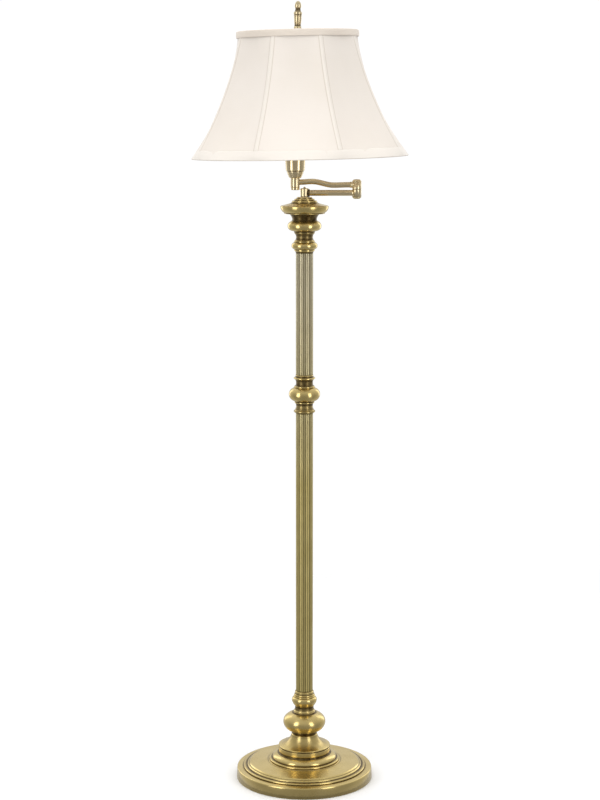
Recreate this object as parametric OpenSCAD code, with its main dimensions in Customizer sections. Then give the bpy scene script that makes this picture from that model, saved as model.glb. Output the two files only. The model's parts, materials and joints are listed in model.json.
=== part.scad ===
// Swing-arm floor lamp: weighted round base, reeded column with turned fittings,
// a folding two-link arm, and a soft eight-panel bell shade carried on a harp.
// Millimetres, +Z up, origin on the column axis at the underside of the base.

/* [Column] */
// Outside diameter of both column tubes
column_d = 34; // [30:0.5:34]
// Number of reeds around each column tube
reed_count = 24; // [16:2:30]
// Length of the column tube below the middle coupling
lower_column_len = 569; // [300:1:700]
// Length of the column tube above the middle coupling
upper_column_len = 241; // [120:1:400]

/* [Arms] */
// Distance from the column axis to the elbow axis
lower_arm_len = 101.5; // [90:0.5:160]
// How much longer the upper link is, so that the folded head clears the post
head_offset = 18; // [18:0.5:24]
// Outside diameter of the lower arm tube
lower_tube_d = 11.5; // [10.5:0.1:12]
// Outside diameter of the upper arm tube
upper_tube_d = 10.8; // [10:0.1:11]

/* [Shade] */
// Radius of the fabric at the top ring, measured at a rib
shade_top_r = 115.5; // [112:0.5:125]
// Radius of the fabric at the bottom edge, measured at a rib
shade_bottom_r = 209; // [200:0.5:225]
// Height of the fabric panels
shade_h = 230; // [220:1:245]
// Number of panels, and of ribs between them
panel_count = 8; // [6:1:10]
// Lean of the harp and finial to the right, degrees
harp_lean = 1.1; // [0:0.1:1.2]
// Tilt of the shade, right side up, degrees
shade_tilt = 1.1; // [0:0.1:1.5]
// Turn of the shade on its stud, with its front going left, degrees
shade_spin = 1; // [0:0.5:20]

/* [Lamp holder] */
// Height of the harp from its saddle to its top
harp_h = 232; // [228:1:240]
// Diameter of the bulb's globe
bulb_d = 60; // [45:1:64]

/* [Hidden] */
$fn = 96;

// Clearances
run_gap = 0.05;
hair = 0.1;

// Colours
antique_brass = [0.69, 0.62, 0.38];
dull_brass = [0.63, 0.58, 0.38];
plated_steel = [0.72, 0.72, 0.7];
iron = [0.25, 0.25, 0.26];
silk = [0.97, 0.94, 0.88];
trim_silk = [0.93, 0.88, 0.82];

// Stack of turned fittings, from the floor up
base_h = 53.8;
pedestal_h = 37.2;
vase_h = 46.7;
collar_h = 43.3;
coupling_base_h = 23;
coupling_ball_h = 28;
coupling_top_h = 25;
neck_bulb_h = 23;
neck_vase_h = 41.4;
saucer_h = 32.6;
cap_h = 11;
pedestal_z = base_h;
vase_z = pedestal_z + pedestal_h;
collar_z = vase_z + vase_h;
lower_column_z = collar_z + collar_h;
coupling_base_z = lower_column_z + lower_column_len;
coupling_ball_z = coupling_base_z + coupling_base_h;
coupling_top_z = coupling_ball_z + coupling_ball_h;
upper_column_z = coupling_top_z + coupling_top_h;
neck_bulb_z = upper_column_z + upper_column_len;
neck_vase_z = neck_bulb_z + neck_bulb_h;
saucer_z = neck_vase_z + neck_vase_h;
cap_z = saucer_z + saucer_h;
pivot_z = cap_z + cap_h;

// Base
felt_t = 2.8;
felt_r = 131;
foot_r = 137.5;
shell_t = 1.5;
recess_r = 60;
recess_z = 21;
bushing_z = 10;
bushing_r = 4;
bushing_flange_r = 7;
bushing_y = 138.8;

// Column and the threaded pipe that ties the stack together
column_r = column_d / 2;
column_wall = 1.6;
reed_groove_r = 0.9;
pipe_r = 5.1;
pipe_bore_r = 3.4;
pipe_z = 12;
pipe_hole_r = 5.4;
wire_r = 2.25;
wire_bend = 6.5;
wire_z = 5.3;
wire_kink_y = 104;
wire_end_y = 127.6;
wire_end_z = 9.7;

// Hollow pivot nipples, and the retaining rings on them
nipple_r = 4.6;
nipple_bore_r = 3;
clip_r = 6;
clip_h = 1;

// Arm levels and knuckles
lower_arm_z = pivot_z + 8;
elbow_seam_z = pivot_z + 15;
upper_arm_z = pivot_z + 23.7;
hub_arm_z = pivot_z + 28.8;
post_r = 8;
post_h = 17;
post_chamber_r = 6.4;
post_boss_r = 7.5;
post_boss_x = 10.1;
elbow_r = 9;
elbow_bottom_z = pivot_z - 3.4;
elbow_top_z = pivot_z + 34.2;
elbow_cap_h = 4;
elbow_chamber_r = 6.5;
bearing_h = 3;
tube_wall = 1.3;
upper_arm_len = lower_arm_len + head_offset;
head_x = lower_arm_len - upper_arm_len;

// Wave of the upper arm, which lifts it from the hub, drops it, and lifts it again to the elbow
wave_x = [-7, 0.14 * lower_arm_len, 0.56 * lower_arm_len, 0.84 * lower_arm_len];
wave_rise = 1.2;
wave_dip = 0.7;
wave_drop = hub_arm_z - upper_arm_z + wave_rise + wave_dip;
wave_steps = 18;
tube_sides = 24;
wire_sides = 10;

// Head: hub, socket cup, harp saddle, socket
hub_r = 9.2;
hub_z = pivot_z + 18.4;
hub_top_z = pivot_z + 37;
hub_cap_h = 4.8;
hub_chamber_r = 6;
cone_h = 13.5;
cup_z = hub_top_z + cone_h;
cup_h = 31.5;
saddle_z = cup_z + cup_h + 0.2;
saddle_t = 1.5;
lug_x = 24;
lug_r = 2;
sleeve_r = 4;
socket_z = saddle_z + saddle_t;
socket_cap_h = 11;
socket_r = 17;
shell_z = socket_z + socket_cap_h;
shell_h = 42;
body_r = 15.6;
body_h = 21;
screw_z = shell_z + body_h + 1.2;
screw_h = 18.5;
screw_r = 14.2;
screw_bore_r = 13.4;
knob_z = shell_z + 13;
knob_shaft_r = 1.6;
knob_y = 28;
knob_len = 12;
bulb_z = screw_z + 2.4;
bulb_base_h = 24;
bulb_base_r = 13;
bulb_r = bulb_d / 2;
bulb_glass_h = bulb_r * 2.75;

// Harp, stud and finial, in a frame whose origin is the middle of the saddle's top
harp_wire_r = 1.7;
harp_half_w = 53;
harp_sides = 8;
stud_r = 3.15;
stud_disc_r = 8;
stud_disc_t = 1.6;
stud_h = 16;
hub_plate_t = 1.8;
hub_plate_r = 11;
hub_plate_z = harp_h + 0.7;
finial_z = hub_plate_z + hub_plate_t + 0.7;

// Shade, in a frame whose origin is the middle of the spider's hub plate
fabric_t = 0.9;
fabric_top_z = -8.6;
fabric_bottom_z = fabric_top_z - shade_h;
rib_wire_r = 1;
rib_inset = 2.3;
rib_start = 0.006;
rib_end = 0.93;
ring_wire_r = 1.5;
top_ring_r = shade_top_r - rib_inset;
top_ring_z = fabric_top_z + 1.8;
bottom_ring_r = shade_bottom_r - 5;
bottom_ring_z = fabric_bottom_z + 2.2;
tape_w = 8;
tape_start = 0.012;
tape_end = 0.797;
tape_lift = 0.4;
tape_t = 0.5;
trim_start = 0.8;
trim_lip = 1.6;
trim_lip_out = 0.2;
rows = 14;
columns = 6;
panel_angle = 360 / panel_count;
spider_arms = 3;
spider_wire_r = 1.6;

// Point at t, from 0 to 1, on a cubic curve from a to d, pulled towards b and then c
function on_curve(a, b, c, d, t) =
    pow(1 - t, 3) * a + 3 * pow(1 - t, 2) * t * b + 3 * (1 - t) * t * t * c + pow(t, 3) * d;

// n steps along that curve
function curve(a, b, c, d, n = 8) = [for (i = [0:n]) on_curve(a, b, c, d, i / n)];

// Half-round bead of height h on a seat of radius r, starting at z
function bead(r, z, h, n = 8) = [
    for (i = [0:n]) let (a = -90 + 180 * i / n) [r + h / 2 * cos(a), z + h / 2 + h / 2 * sin(a)]
];

// Rounded corner of radius e from the wall at r up to the flat at z
function round_edge(r, z, e, n = 4) = [
    for (i = [0:n]) let (a = 90 * i / n) [r - e + e * cos(a), z - e + e * sin(a)]
];

// Solid of revolution from an outline of [radius, height] points, with a hole down its axis
module turned(outline, h, hole = pipe_hole_r) {
    rotate_extrude() polygon(concat([[hole, 0]], outline, [[hole, h]]));
}

// Plain ring from z up
module ring(r, hole, z, h) {
    translate([0, 0, z]) difference() {
        cylinder(r = r, h = h);
        translate([0, 0, -hair]) cylinder(r = hole, h = h + 2 * hair);
    }
}

// Cylinder along X
module bar_x(x0, x1, z, r) {
    translate([x0, 0, z]) rotate([0, 90, 0]) cylinder(r = r, h = x1 - x0);
}

// Quarter turn of round wire that joins a run along an axis at the origin to a rise at distance bend
module quarter_bend(r, bend) {
    rotate([90, 0, 0]) rotate_extrude(angle = 90) translate([bend, 0]) circle(r = r);
}

// Rings of points of radius r around a path in the XZ plane
function path_rings(path, r, sides) = [
    for (i = [0:len(path) - 1])
        let (d = path[min(i + 1, len(path) - 1)] - path[max(i - 1, 0)], u = d / norm(d))
        [
            for (k = [0:sides - 1])
                let (a = 360 * k / sides)
                [path[i][0] - u[1] * r * cos(a), r * sin(a), path[i][1] + u[0] * r * cos(a)]
        ]
];

// Solid rod of round section along a path in the XZ plane
module rod_xz(path, r, sides) {
    n = len(path);
    walls = [
        for (i = [0:n - 2]) for (k = [0:sides - 1])
            let (k2 = (k + 1) % sides)
            [i * sides + k, i * sides + k2, (i + 1) * sides + k2, (i + 1) * sides + k]
    ];
    first = [for (k = [0:sides - 1]) sides - 1 - k];
    last = [for (k = [0:sides - 1]) (n - 1) * sides + k];
    points = [for (row = path_rings(path, r, sides)) each row];
    polyhedron(points, concat(walls, [first, last]), convexity = 6);
}

// Closed slab between an outer and an inner grid of points; wrap joins the last column to the first
module slab(outer, inner, wrap = false) {
    n = len(outer);
    m = len(outer[0]);
    s = n * m;
    last = wrap ? m - 1 : m - 2;
    points = concat([for (row = outer) each row], [for (row = inner) each row]);
    walls = [
        for (i = [0:n - 2]) for (j = [0:last])
            let (a = i * m + j, b = i * m + (j + 1) % m, c = b + m, d = a + m)
            each [[a, b, c], [a, c, d], [s + a, s + c, s + b], [s + a, s + d, s + c]]
    ];
    rims = [
        for (j = [0:last])
            let (a = j, b = (j + 1) % m, e = (n - 1) * m)
            each [
                [a, s + a, s + b], [a, s + b, b],
                [e + a, e + b, s + e + b], [e + a, s + e + b, s + e + a]
            ]
    ];
    ends = wrap ? [] : [
        for (i = [0:n - 2])
            let (a = i * m, d = a + m, b = a + m - 1, c = b + m)
            each [[a, d, s + d], [a, s + d, s + a], [b, s + c, c], [b, s + b, s + c]]
    ];
    polyhedron(points, concat(walls, rims, ends), convexity = 8);
}

// ---- Base ----

module felt_pad() {
    color("darkgreen") cylinder(r = felt_r, h = felt_t);
}

module base_weight() {
    color(iron) difference() {
        rotate_extrude() polygon(concat(
            [[recess_r, felt_t], [130, felt_t], [130, 16], [118, 18.5], [104, 25], [32, 28], [30, 30]],
            [[30, base_h - shell_t], [6, base_h - shell_t], [6, recess_z], [recess_r, recess_z]]
        ));
        translate([-6, 0, 0]) cube([12, foot_r, 14]);
    }
}

module base_shell() {
    outer = concat(
        [[foot_r, 1], [136.4, 20.4]],
        round_edge(136.3, 22.6, 2),
        [[127.4, 23.1]],
        bead(121.6, 23.3, 3.4),
        [[117, 27]],
        curve([115.8, 27.2], [115.6, 28.6], [114.6, 29.8], [112, 30.4], 5),
        [[111.4, 31.2], [109.6, 32.6]],
        curve([108.6, 33.1], [98, 33.9], [84, 34.8], [73.4, 36.2], 6),
        [[72.6, 36.8]],
        bead(68.6, 36.9, 3.6),
        [[65.8, 40.8]],
        curve([64.2, 41.2], [65.6, 44.4], [62.6, 49], [53.4, 51.2], 8),
        [[52.2, 51.8], [51.8, base_h]]
    );
    inner = [
        [7, base_h], [7, base_h - shell_t], [49.5, base_h - shell_t], [49.5, 50], [60, 46], [62.4, 36],
        [106, 30.5], [113, 26.6], [120, 21.5], [134.2, 20.4], [foot_r - 1.9, 1]
    ];
    color(antique_brass) difference() {
        rotate_extrude() polygon(concat(outer, inner));
        translate([0, foot_r - 15, bushing_z]) rotate([-90, 0, 0]) cylinder(r = bushing_r + 1.7, h = 20);
    }
}

// Bushing in the back of the base that the mains lead passes through
module cord_bushing() {
    color("black") difference() {
        union() {
            translate([0, foot_r - 6.5, bushing_z]) rotate([-90, 0, 0])
                cylinder(r = bushing_r + 1.6, h = bushing_y - foot_r + 6.5);
            difference() {
                translate([0, foot_r - 5, bushing_z]) rotate([-90, 0, 0])
                    cylinder(r = bushing_flange_r, h = bushing_y - foot_r + 5);
                rotate_extrude() polygon([[0, 0], [foot_r + 0.3, 0], [foot_r - 0.8, 20], [0, 20]]);
            }
        }
        translate([0, foot_r - 9, bushing_z]) rotate([-90, 0, 0]) cylinder(r = bushing_r, h = 20);
    }
}

module base_washer() {
    color(plated_steel) ring(14, pipe_hole_r, recess_z - 1.6, 1.6);
}

module base_nut() {
    color(plated_steel) translate([0, 0, recess_z - 8]) difference() {
        cylinder(r = 10, h = 6.4, $fn = 6);
        translate([0, 0, -1]) cylinder(r = pipe_r + run_gap, h = 9);
    }
}

module tie_pipe() {
    color(plated_steel) ring(pipe_r, pipe_bore_r, pipe_z, cap_z + 4 - pipe_z);
}

// ---- Column and its turned fittings ----

module base_pedestal() {
    outline = concat(
        [[52.2, 0], [52.5, 3], [52.5, 9.8], [51.4, 10.6], [51.4, 11.8], [52.1, 12.4], [52.1, 13.6]],
        curve([50.6, 14.4], [40, 17], [31, 21.6], [26.2, 34.6], 12),
        [[25.8, pedestal_h]]
    );
    color(antique_brass) translate([0, 0, pedestal_z]) difference() {
        turned(outline, pedestal_h);
        translate([0, 0, 3]) cylinder(r1 = 40, r2 = 18, h = 20);
    }
}

module lower_vase() {
    outline = concat(
        [[25.2, 0], [25.2, 5.4]],
        curve([25.2, 5.8], [33, 6.8], [42.8, 14.4], [42.8, 25.4], 12),
        curve([42.8, 25.4], [42.8, 33], [36.6, 40.4], [24.6, 43.6], 12),
        [[22.4, 44.6], [21.8, vase_h]]
    );
    color(antique_brass) translate([0, 0, vase_z]) difference() {
        turned(outline, vase_h);
        translate([0, 0, 8]) cylinder(r = 26, h = 28);
    }
}

module lower_collar() {
    outline = concat(
        [[21.6, 0], [21.4, 1.4]],
        curve([21.2, 1.8], [19.4, 3.6], [18.7, 5.6], [18.7, 9.4], 6),
        curve([18.7, 10.4], [20.2, 13], [25.3, 18.2], [25.3, 24]),
        curve([25.3, 24], [25.3, 26.8], [24, 29], [21.8, 30], 6),
        bead(20.2, 30.2, 3.2),
        bead(19.2, 33.5, 3.1),
        [[18.8, 36.9], [19, 37.4], [19, 41.6], [17.6, 42.6], [17.4, collar_h]]
    );
    color(antique_brass) translate([0, 0, collar_z]) turned(outline, collar_h);
}

module reeded_tube(h) {
    linear_extrude(height = h) difference() {
        circle(r = column_r);
        circle(r = column_r - column_wall);
        for (i = [0:reed_count - 1])
            rotate(360 * (i + 0.5) / reed_count) translate([column_r + reed_groove_r / 3, 0])
                circle(r = reed_groove_r);
    }
}

module lower_column() {
    color(dull_brass) translate([0, 0, lower_column_z]) reeded_tube(lower_column_len);
}

module coupling_base() {
    outline = concat(
        [[17.8, 0], [17.9, 1.6], [20.8, 2], [21.2, 2.6], [21.2, 4.6]],
        curve([20.6, 5.2], [18.2, 6.6], [16.7, 10], [16.7, 14]),
        curve([16.7, 14.4], [16.7, 18.6], [17.6, 19.6], [19.4, 20.2], 5),
        [[19.7, 20.7], [19.7, 22], [19, 22.5], [19, coupling_base_h]]
    );
    color(antique_brass) translate([0, 0, coupling_base_z]) turned(outline, coupling_base_h);
}

module coupling_ball() {
    widest = 14.2;
    outline = concat(
        [[19.6, 0]],
        curve([20.2, 1], [25.8, 2.4], [30.9, 7.8], [30.9, widest], 10),
        curve([30.9, widest], [30.9, 20.8], [27, 25.6], [20.6, 27.5], 10),
        [[20.2, coupling_ball_h]]
    );
    color(antique_brass) translate([0, 0, coupling_ball_z]) difference() {
        turned(outline, coupling_ball_h);
        translate([0, 0, 5]) cylinder(r = 20, h = coupling_ball_h - 10);
    }
}

module coupling_top() {
    outline = concat(
        bead(19.2, 0, 3),
        curve([19, 3.2], [17.5, 4], [16.9, 5.4], [16.8, 7.2], 5),
        curve([16.8, 12], [17, 14.6], [18.6, 16.4], [20.9, 17.6], 6),
        [[21.2, 18.1], [21.2, 19.4], [20.2, 20.2], [17.9, 20.9], [17.5, coupling_top_h]]
    );
    color(antique_brass) translate([0, 0, coupling_top_z]) turned(outline, coupling_top_h);
}

module upper_column() {
    color(dull_brass) translate([0, 0, upper_column_z]) reeded_tube(upper_column_len);
}

module neck_bulb() {
    outline = concat(
        [[17.2, 0], [17.5, 1.4], [19.2, 3.1], [20.1, 3.8], [20.1, 5.6], [19.6, 6.2]],
        curve([20, 6.6], [23.2, 7.4], [25.6, 10.4], [25.6, 13.2]),
        curve([25.6, 13.2], [25.6, 16.4], [23.8, 18.8], [20.8, 20.2]),
        [[20, 20.6], [20.6, 21.2], [20.6, 22.4], [19.6, neck_bulb_h]]
    );
    color(antique_brass) translate([0, 0, neck_bulb_z]) turned(outline, neck_bulb_h);
}

module neck_vase() {
    outline = concat(
        [[19.4, 0], [19.4, 0.6]],
        curve([19.2, 0.8], [17.3, 2.2], [16.5, 4.2], [16.5, 7.2], 6),
        curve([16.5, 7.4], [16.5, 10.6], [17.4, 13], [20, 14.8], 6),
        [[20.4, 17.8], [21, 18.8]],
        curve([21.8, 19], [29, 19.6], [33.1, 23.4], [33.1, 28.8], 10),
        curve([33.1, 28.8], [33.1, 33.4], [30, 37], [25, 39.2], 10),
        [[24.1, 39.7], [24, neck_vase_h]]
    );
    color(antique_brass) translate([0, 0, neck_vase_z]) difference() {
        turned(outline, neck_vase_h);
        translate([0, 0, 22]) cylinder(r = 21, h = 15);
    }
}

module saucer() {
    outline = concat(
        [[23.9, 0], [23.9, 1.4]],
        curve([24, 1.8], [25, 5.4], [26.6, 8.6], [29.6, 10.9], 6),
        [[38.6, 11.4], [39.8, 11.8], [39.9, 13.2]],
        curve([40.2, 13.6], [43.8, 15], [47, 20.2], [47.2, 24.6]),
        [[47, 26], [46, 26.8]],
        curve([45.2, 27.2], [39, 28.5], [33, 30.2], [27, 32], 6),
        [[26.2, saucer_h]]
    );
    color(antique_brass) translate([0, 0, saucer_z]) difference() {
        turned(outline, saucer_h);
        translate([0, 0, 14]) cylinder(r1 = 34, r2 = 38, h = 10);
    }
}

module step_cap() {
    outline = concat(
        [[25.4, 0], [25.4, 1], [24.6, 1.4]],
        round_edge(24.4, 4.3, 1.4),
        [[20.2, 4.5]],
        round_edge(20, 7.7, 1.4),
        [[15.8, 7.9]],
        round_edge(15.4, cap_h, 1.4)
    );
    color(antique_brass) translate([0, 0, cap_z]) difference() {
        turned(outline, cap_h, nipple_r + run_gap);
        translate([0, 0, -1]) cylinder(r = pipe_r + run_gap, h = 5);
    }
}

module pivot_nipple() {
    color(plated_steel) ring(nipple_r, nipple_bore_r, cap_z + 4.4, cap_h + 1);
}

module pivot_clip() {
    color(plated_steel) ring(clip_r, nipple_r + run_gap, pivot_z + 4.3, clip_h);
}

module pivot_washer() {
    color("ivory") ring(7.2, nipple_r + run_gap, pivot_z, 0.6);
}

// Wire from the bushing, through the channel in the weight, and up inside the pipe
module column_wire() {
    turn = [
        for (i = [0:6]) let (a = 15 * i)
            [wire_bend - wire_bend * sin(a), wire_z + wire_bend - wire_bend * cos(a)]
    ];
    path = concat([[wire_end_y, wire_end_z], [wire_kink_y, wire_z]], turn, [[0, pivot_z + 5]]);
    color("dimgray") rotate([0, 0, 90]) rod_xz(path, wire_r, wire_sides);
}

// ---- Lower arm ----

module post_knuckle() {
    boss_chamfer = 0.6;
    post_lift = 0.9;
    color(antique_brass) difference() {
        union() {
            translate([0, 0, pivot_z + post_lift]) rotate_extrude() polygon(concat(
                [[0, 0], [7.2, 0], [post_r, 0.8]],
                round_edge(post_r, post_h - post_lift, 1.6),
                [[0, post_h - post_lift]]
            ));
            translate([0, 0, lower_arm_z]) rotate([0, 90, 0]) rotate_extrude() polygon([
                [lower_tube_d / 2 + run_gap, 4], [post_boss_r, 4], [post_boss_r, post_boss_x - boss_chamfer],
                [post_boss_r - boss_chamfer, post_boss_x], [lower_tube_d / 2 + run_gap, post_boss_x]
            ]);
        }
        // flat under the boss, so that it clears the washer
        translate([0, 0, pivot_z - 1]) cylinder(r = post_boss_x + 1, h = 1 + post_lift);
        translate([0, 0, pivot_z]) cylinder(r = nipple_r + run_gap, h = 5);
        translate([0, 0, pivot_z + 4]) cylinder(r = post_chamber_r, h = 9.5);
        translate([0, 0, pivot_z + 12]) cylinder(r = 1.6, h = 10);
        bar_x(0, post_r + 2, lower_arm_z, 3.2);
    }
}

module post_screw() {
    color(antique_brass) translate([0, 0, pivot_z + post_h]) {
        translate([0, 0, -3.4]) cylinder(r = 1.55, h = 3.5);
        rotate_extrude() polygon(concat([[0, 0]], curve([2.4, 0], [2.4, 1.6], [1.6, 2.9], [0, 3], 6)));
    }
}

module lower_arm_tube() {
    inner_r = lower_tube_d / 2 - tube_wall;
    color(antique_brass) difference() {
        bar_x(0, lower_arm_len, lower_arm_z, lower_tube_d / 2);
        bar_x(-1, lower_arm_len + 1, lower_arm_z, inner_r);
        translate([0, 0, pivot_z - 5]) cylinder(r = post_r, h = 40);
        translate([lower_arm_len, 0, pivot_z - 5]) cylinder(r = elbow_r, h = 40);
    }
}

module elbow_lower() {
    color(antique_brass) difference() {
        translate([lower_arm_len, 0, elbow_bottom_z + elbow_cap_h])
            cylinder(r = elbow_r, h = elbow_seam_z - 0.2 - elbow_bottom_z - elbow_cap_h);
        translate([lower_arm_len, 0, elbow_bottom_z])
            cylinder(r = elbow_chamber_r, h = elbow_seam_z - bearing_h - elbow_bottom_z);
        translate([lower_arm_len, 0, pivot_z]) cylinder(r = nipple_r + run_gap, h = 20);
        bar_x(lower_arm_len - elbow_r - 2, lower_arm_len, lower_arm_z, 3.2);
    }
}

// Chamfered cap of the elbow, from its outer face up to its seat
module elbow_cap() {
    rotate_extrude() polygon([
        [0, 0], [5.4, 0], [6.2, 0.4], [elbow_r - 0.4, 2.8], [elbow_r, 3.5], [elbow_r, elbow_cap_h],
        [0, elbow_cap_h]
    ]);
}

module elbow_lower_cap() {
    color(antique_brass) translate([lower_arm_len, 0, elbow_bottom_z]) elbow_cap();
}

module elbow_nipple() {
    color(plated_steel) translate([lower_arm_len, 0, 0])
        ring(nipple_r, nipple_bore_r + 0.2, elbow_seam_z - 2.5, 7.3);
}

module elbow_clip() {
    color(plated_steel) translate([lower_arm_len, 0, 0])
        ring(clip_r, nipple_r + run_gap, elbow_seam_z + 3.6, clip_h);
}

// Wire from the post to the elbow, turning up into the elbow nipple
module lower_arm_wire() {
    color("dimgray") {
        bar_x(-2, lower_arm_len - wire_bend, lower_arm_z + 0.4, wire_r);
        translate([lower_arm_len - wire_bend, 0, lower_arm_z + 0.4 + wire_bend]) mirror([0, 0, 1])
            quarter_bend(wire_r, wire_bend);
        translate([lower_arm_len, 0, lower_arm_z + 0.4 + wire_bend])
            cylinder(r = wire_r, h = elbow_seam_z + 4.8 - lower_arm_z - 0.4 - wire_bend);
    }
}

// ---- Upper arm ----

module elbow_upper() {
    collar_x = lower_arm_len - elbow_r - 4;
    color(antique_brass) difference() {
        union() {
            translate([lower_arm_len, 0, elbow_seam_z + 0.2])
                cylinder(r = elbow_r, h = elbow_top_z - elbow_cap_h - elbow_seam_z - 0.2);
            bar_x(collar_x, lower_arm_len, upper_arm_z, upper_tube_d / 2 + 0.5);
        }
        translate([lower_arm_len, 0, elbow_seam_z + bearing_h]) cylinder(r = elbow_chamber_r, h = 20);
        translate([lower_arm_len, 0, elbow_seam_z - 1]) cylinder(r = nipple_r + run_gap, h = 8);
        bar_x(collar_x - 1, lower_arm_len, upper_arm_z, 3.2);
        bar_x(collar_x - 1, lower_arm_len - elbow_r - 1, upper_arm_z, upper_tube_d / 2 + run_gap);
    }
}

module elbow_upper_cap() {
    color(antique_brass) translate([lower_arm_len, 0, elbow_top_z]) rotate([180, 0, 0]) elbow_cap();
}

// Share of the way from a to b at x, eased at both ends
function ease(x, a, b) = (1 - cos(180 * max(0, min(1, (x - a) / (b - a))))) / 2;

// Height of the upper arm's centreline at x
function arm_level(x) =
    hub_arm_z + wave_rise * ease(x, wave_x[0], wave_x[1])
    - wave_drop * ease(x, wave_x[1], wave_x[2]) + wave_dip * ease(x, wave_x[2], wave_x[3]);

// Centreline of the upper arm from x_start to x_end
function arm_path(x_start, x_end) = [
    for (i = [0:wave_steps])
        let (x = x_start + (x_end - x_start) * i / wave_steps)
        [x, arm_level(x)]
];

// Hollow tube with the wave; its ends sit in the hub and in the elbow's collar
module upper_arm_tube() {
    path = arm_path(head_x + hub_chamber_r + 0.3, lower_arm_len - elbow_r - 1);
    outer_r = upper_tube_d / 2;
    color(antique_brass) slab(
        path_rings(path, outer_r, tube_sides),
        path_rings(path, outer_r - tube_wall, tube_sides),
        wrap = true
    );
}

// Wire from the elbow nipple through the arm, turning up at the hub to the socket
module upper_arm_wire() {
    rise_z = hub_arm_z + wire_bend;
    turn = [
        for (i = [0:6]) let (a = 15 * i)
            [head_x + wire_bend - wire_bend * cos(a), rise_z - wire_bend * sin(a)]
    ];
    path = concat([[head_x, socket_z + 2]], turn, arm_path(head_x + wire_bend + 1, lower_arm_len + 2));
    color("dimgray") rod_xz(path, wire_r, wire_sides);
}

module head_hub() {
    color(antique_brass) translate([head_x, 0, 0]) difference() {
        translate([0, 0, hub_z]) rotate_extrude() polygon(concat(
            [[0, 0], [8.6, 0], [hub_r, 0.6]],
            round_edge(hub_r, hub_top_z - hub_z, 0.8),
            [[0, hub_top_z - hub_z]]
        ));
        translate([0, 0, hub_z - 1]) cylinder(r = hub_chamber_r, h = hub_top_z - hub_z - 2);
        cylinder(r = 4.9 + run_gap, h = hub_top_z + 1);
        bar_x(0, hub_r + 2, hub_arm_z, upper_tube_d / 2 + run_gap);
    }
}

// Screw plug that closes the bottom of the hub
module hub_cap() {
    color(antique_brass) translate([head_x, 0, hub_z - hub_cap_h]) rotate_extrude()
        polygon([[0, 0], [7.5, 0], [8.5, 1], [8.5, 4.2], [7.7, hub_cap_h], [0, hub_cap_h]]);
}

module socket_cone() {
    color(antique_brass) translate([head_x, 0, hub_top_z]) rotate_extrude() polygon(concat(
        [[5, 0], [11, 0], [12.1, 0.8]],
        curve([12.2, 1], [14, 5], [15.7, 9], [16.5, 12], 5),
        [[16.5, cone_h], [15.1, cone_h], [14.5, 11.5], [10.4, 2], [5, 2]]
    ));
}

module socket_cup() {
    color(antique_brass) translate([head_x, 0, cup_z]) rotate_extrude() polygon(concat(
        [[5, 0], [16.5, 0]],
        curve([16.9, 0], [17.9, 0.2], [18.3, 0.8], [18.4, 2], 4),
        [[19.3, 18.5], [19.6, 29]],
        bead(19.1, cup_h - 2, 2, 5),
        [[18.3, cup_h], [18.1, 18.5], [17.3, 2], [5, 1.4]]
    ));
}

// Threaded nipple that holds hub, cone, cup, saddle and socket together
module socket_nipple() {
    color(plated_steel) translate([head_x, 0, 0])
        ring(4.9, nipple_bore_r, hub_top_z - 3, socket_z + 5 - hub_top_z + 3);
}

module harp_saddle() {
    color(antique_brass) translate([head_x, 0, saddle_z]) difference() {
        union() {
            cylinder(r = 11, h = saddle_t);
            translate([-lug_x, -5.5, 0]) cube([2 * lug_x, 11, saddle_t]);
            for (side = [-1, 1]) translate([side * lug_x, 0, 0]) {
                cylinder(r = 5.5, h = saddle_t);
                cylinder(r = lug_r, h = 12);
            }
        }
        translate([0, 0, -1]) cylinder(r = 4.9 + run_gap, h = 5);
    }
}

// Places its children in the leaning frame of the harp
module on_saddle() {
    translate([head_x, 0, socket_z]) rotate([0, harp_lean, 0]) children();
}

module harp() {
    harp_top = harp_h - stud_disc_t - harp_wire_r - hair;
    half = concat(
        curve([lug_x, 13], [lug_x, 26], [34, 38], [harp_half_w - 8, 62], 8),
        curve([harp_half_w - 5.5, 70], [harp_half_w + 1, 92], [harp_half_w + 1, 128], [45, 168], 10),
        curve([42, 178], [34, 204], [22, harp_h - 4], [stud_disc_r + 2, harp_top], 8)
    );
    n = len(half);
    loop = concat(half, [[0, harp_top]], [for (i = [1:n]) [-half[n - i][0], half[n - i][1]]]);
    color(antique_brass) on_saddle() rod_xz(loop, harp_wire_r, harp_sides);
}

module harp_sleeves() {
    color(antique_brass) on_saddle() for (side = [-1, 1]) translate([side * lug_x, 0, 0]) difference() {
        translate([0, 0, 3]) cylinder(r = sleeve_r, h = 12);
        cylinder(r = lug_r + 0.4, h = 20);
    }
}

module harp_stud() {
    color(antique_brass) on_saddle() translate([0, 0, harp_h - stud_disc_t]) {
        cylinder(r = stud_disc_r, h = stud_disc_t);
        cylinder(r = stud_r, h = stud_h);
    }
}

module finial() {
    outline = concat(
        [[7.2, 0], [7.3, 0.8], [7.2, 5.6], [6.9, 6.6], [6.1, 7.6], [6.1, 9.8], [6.4, 12], [6.9, 15.6]],
        [[7.2, 22], [7.4, 29.2], [8.1, 30.4], [8.1, 32.8]],
        curve([8, 33], [6.2, 34], [4.9, 37], [4.85, 40.6], 6),
        curve([4.85, 40.8], [6.2, 41.6], [6.4, 43.6], [6.2, 45.4], 5),
        curve([6.2, 45.6], [6.1, 50.4], [4.2, 53.6], [0, 54.8], 8)
    );
    color(antique_brass) on_saddle() translate([0, 0, finial_z]) difference() {
        rotate_extrude() polygon(concat([[0, 0]], outline));
        translate([0, 0, -1]) cylinder(r = stud_r + run_gap, h = 16);
    }
}

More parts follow.
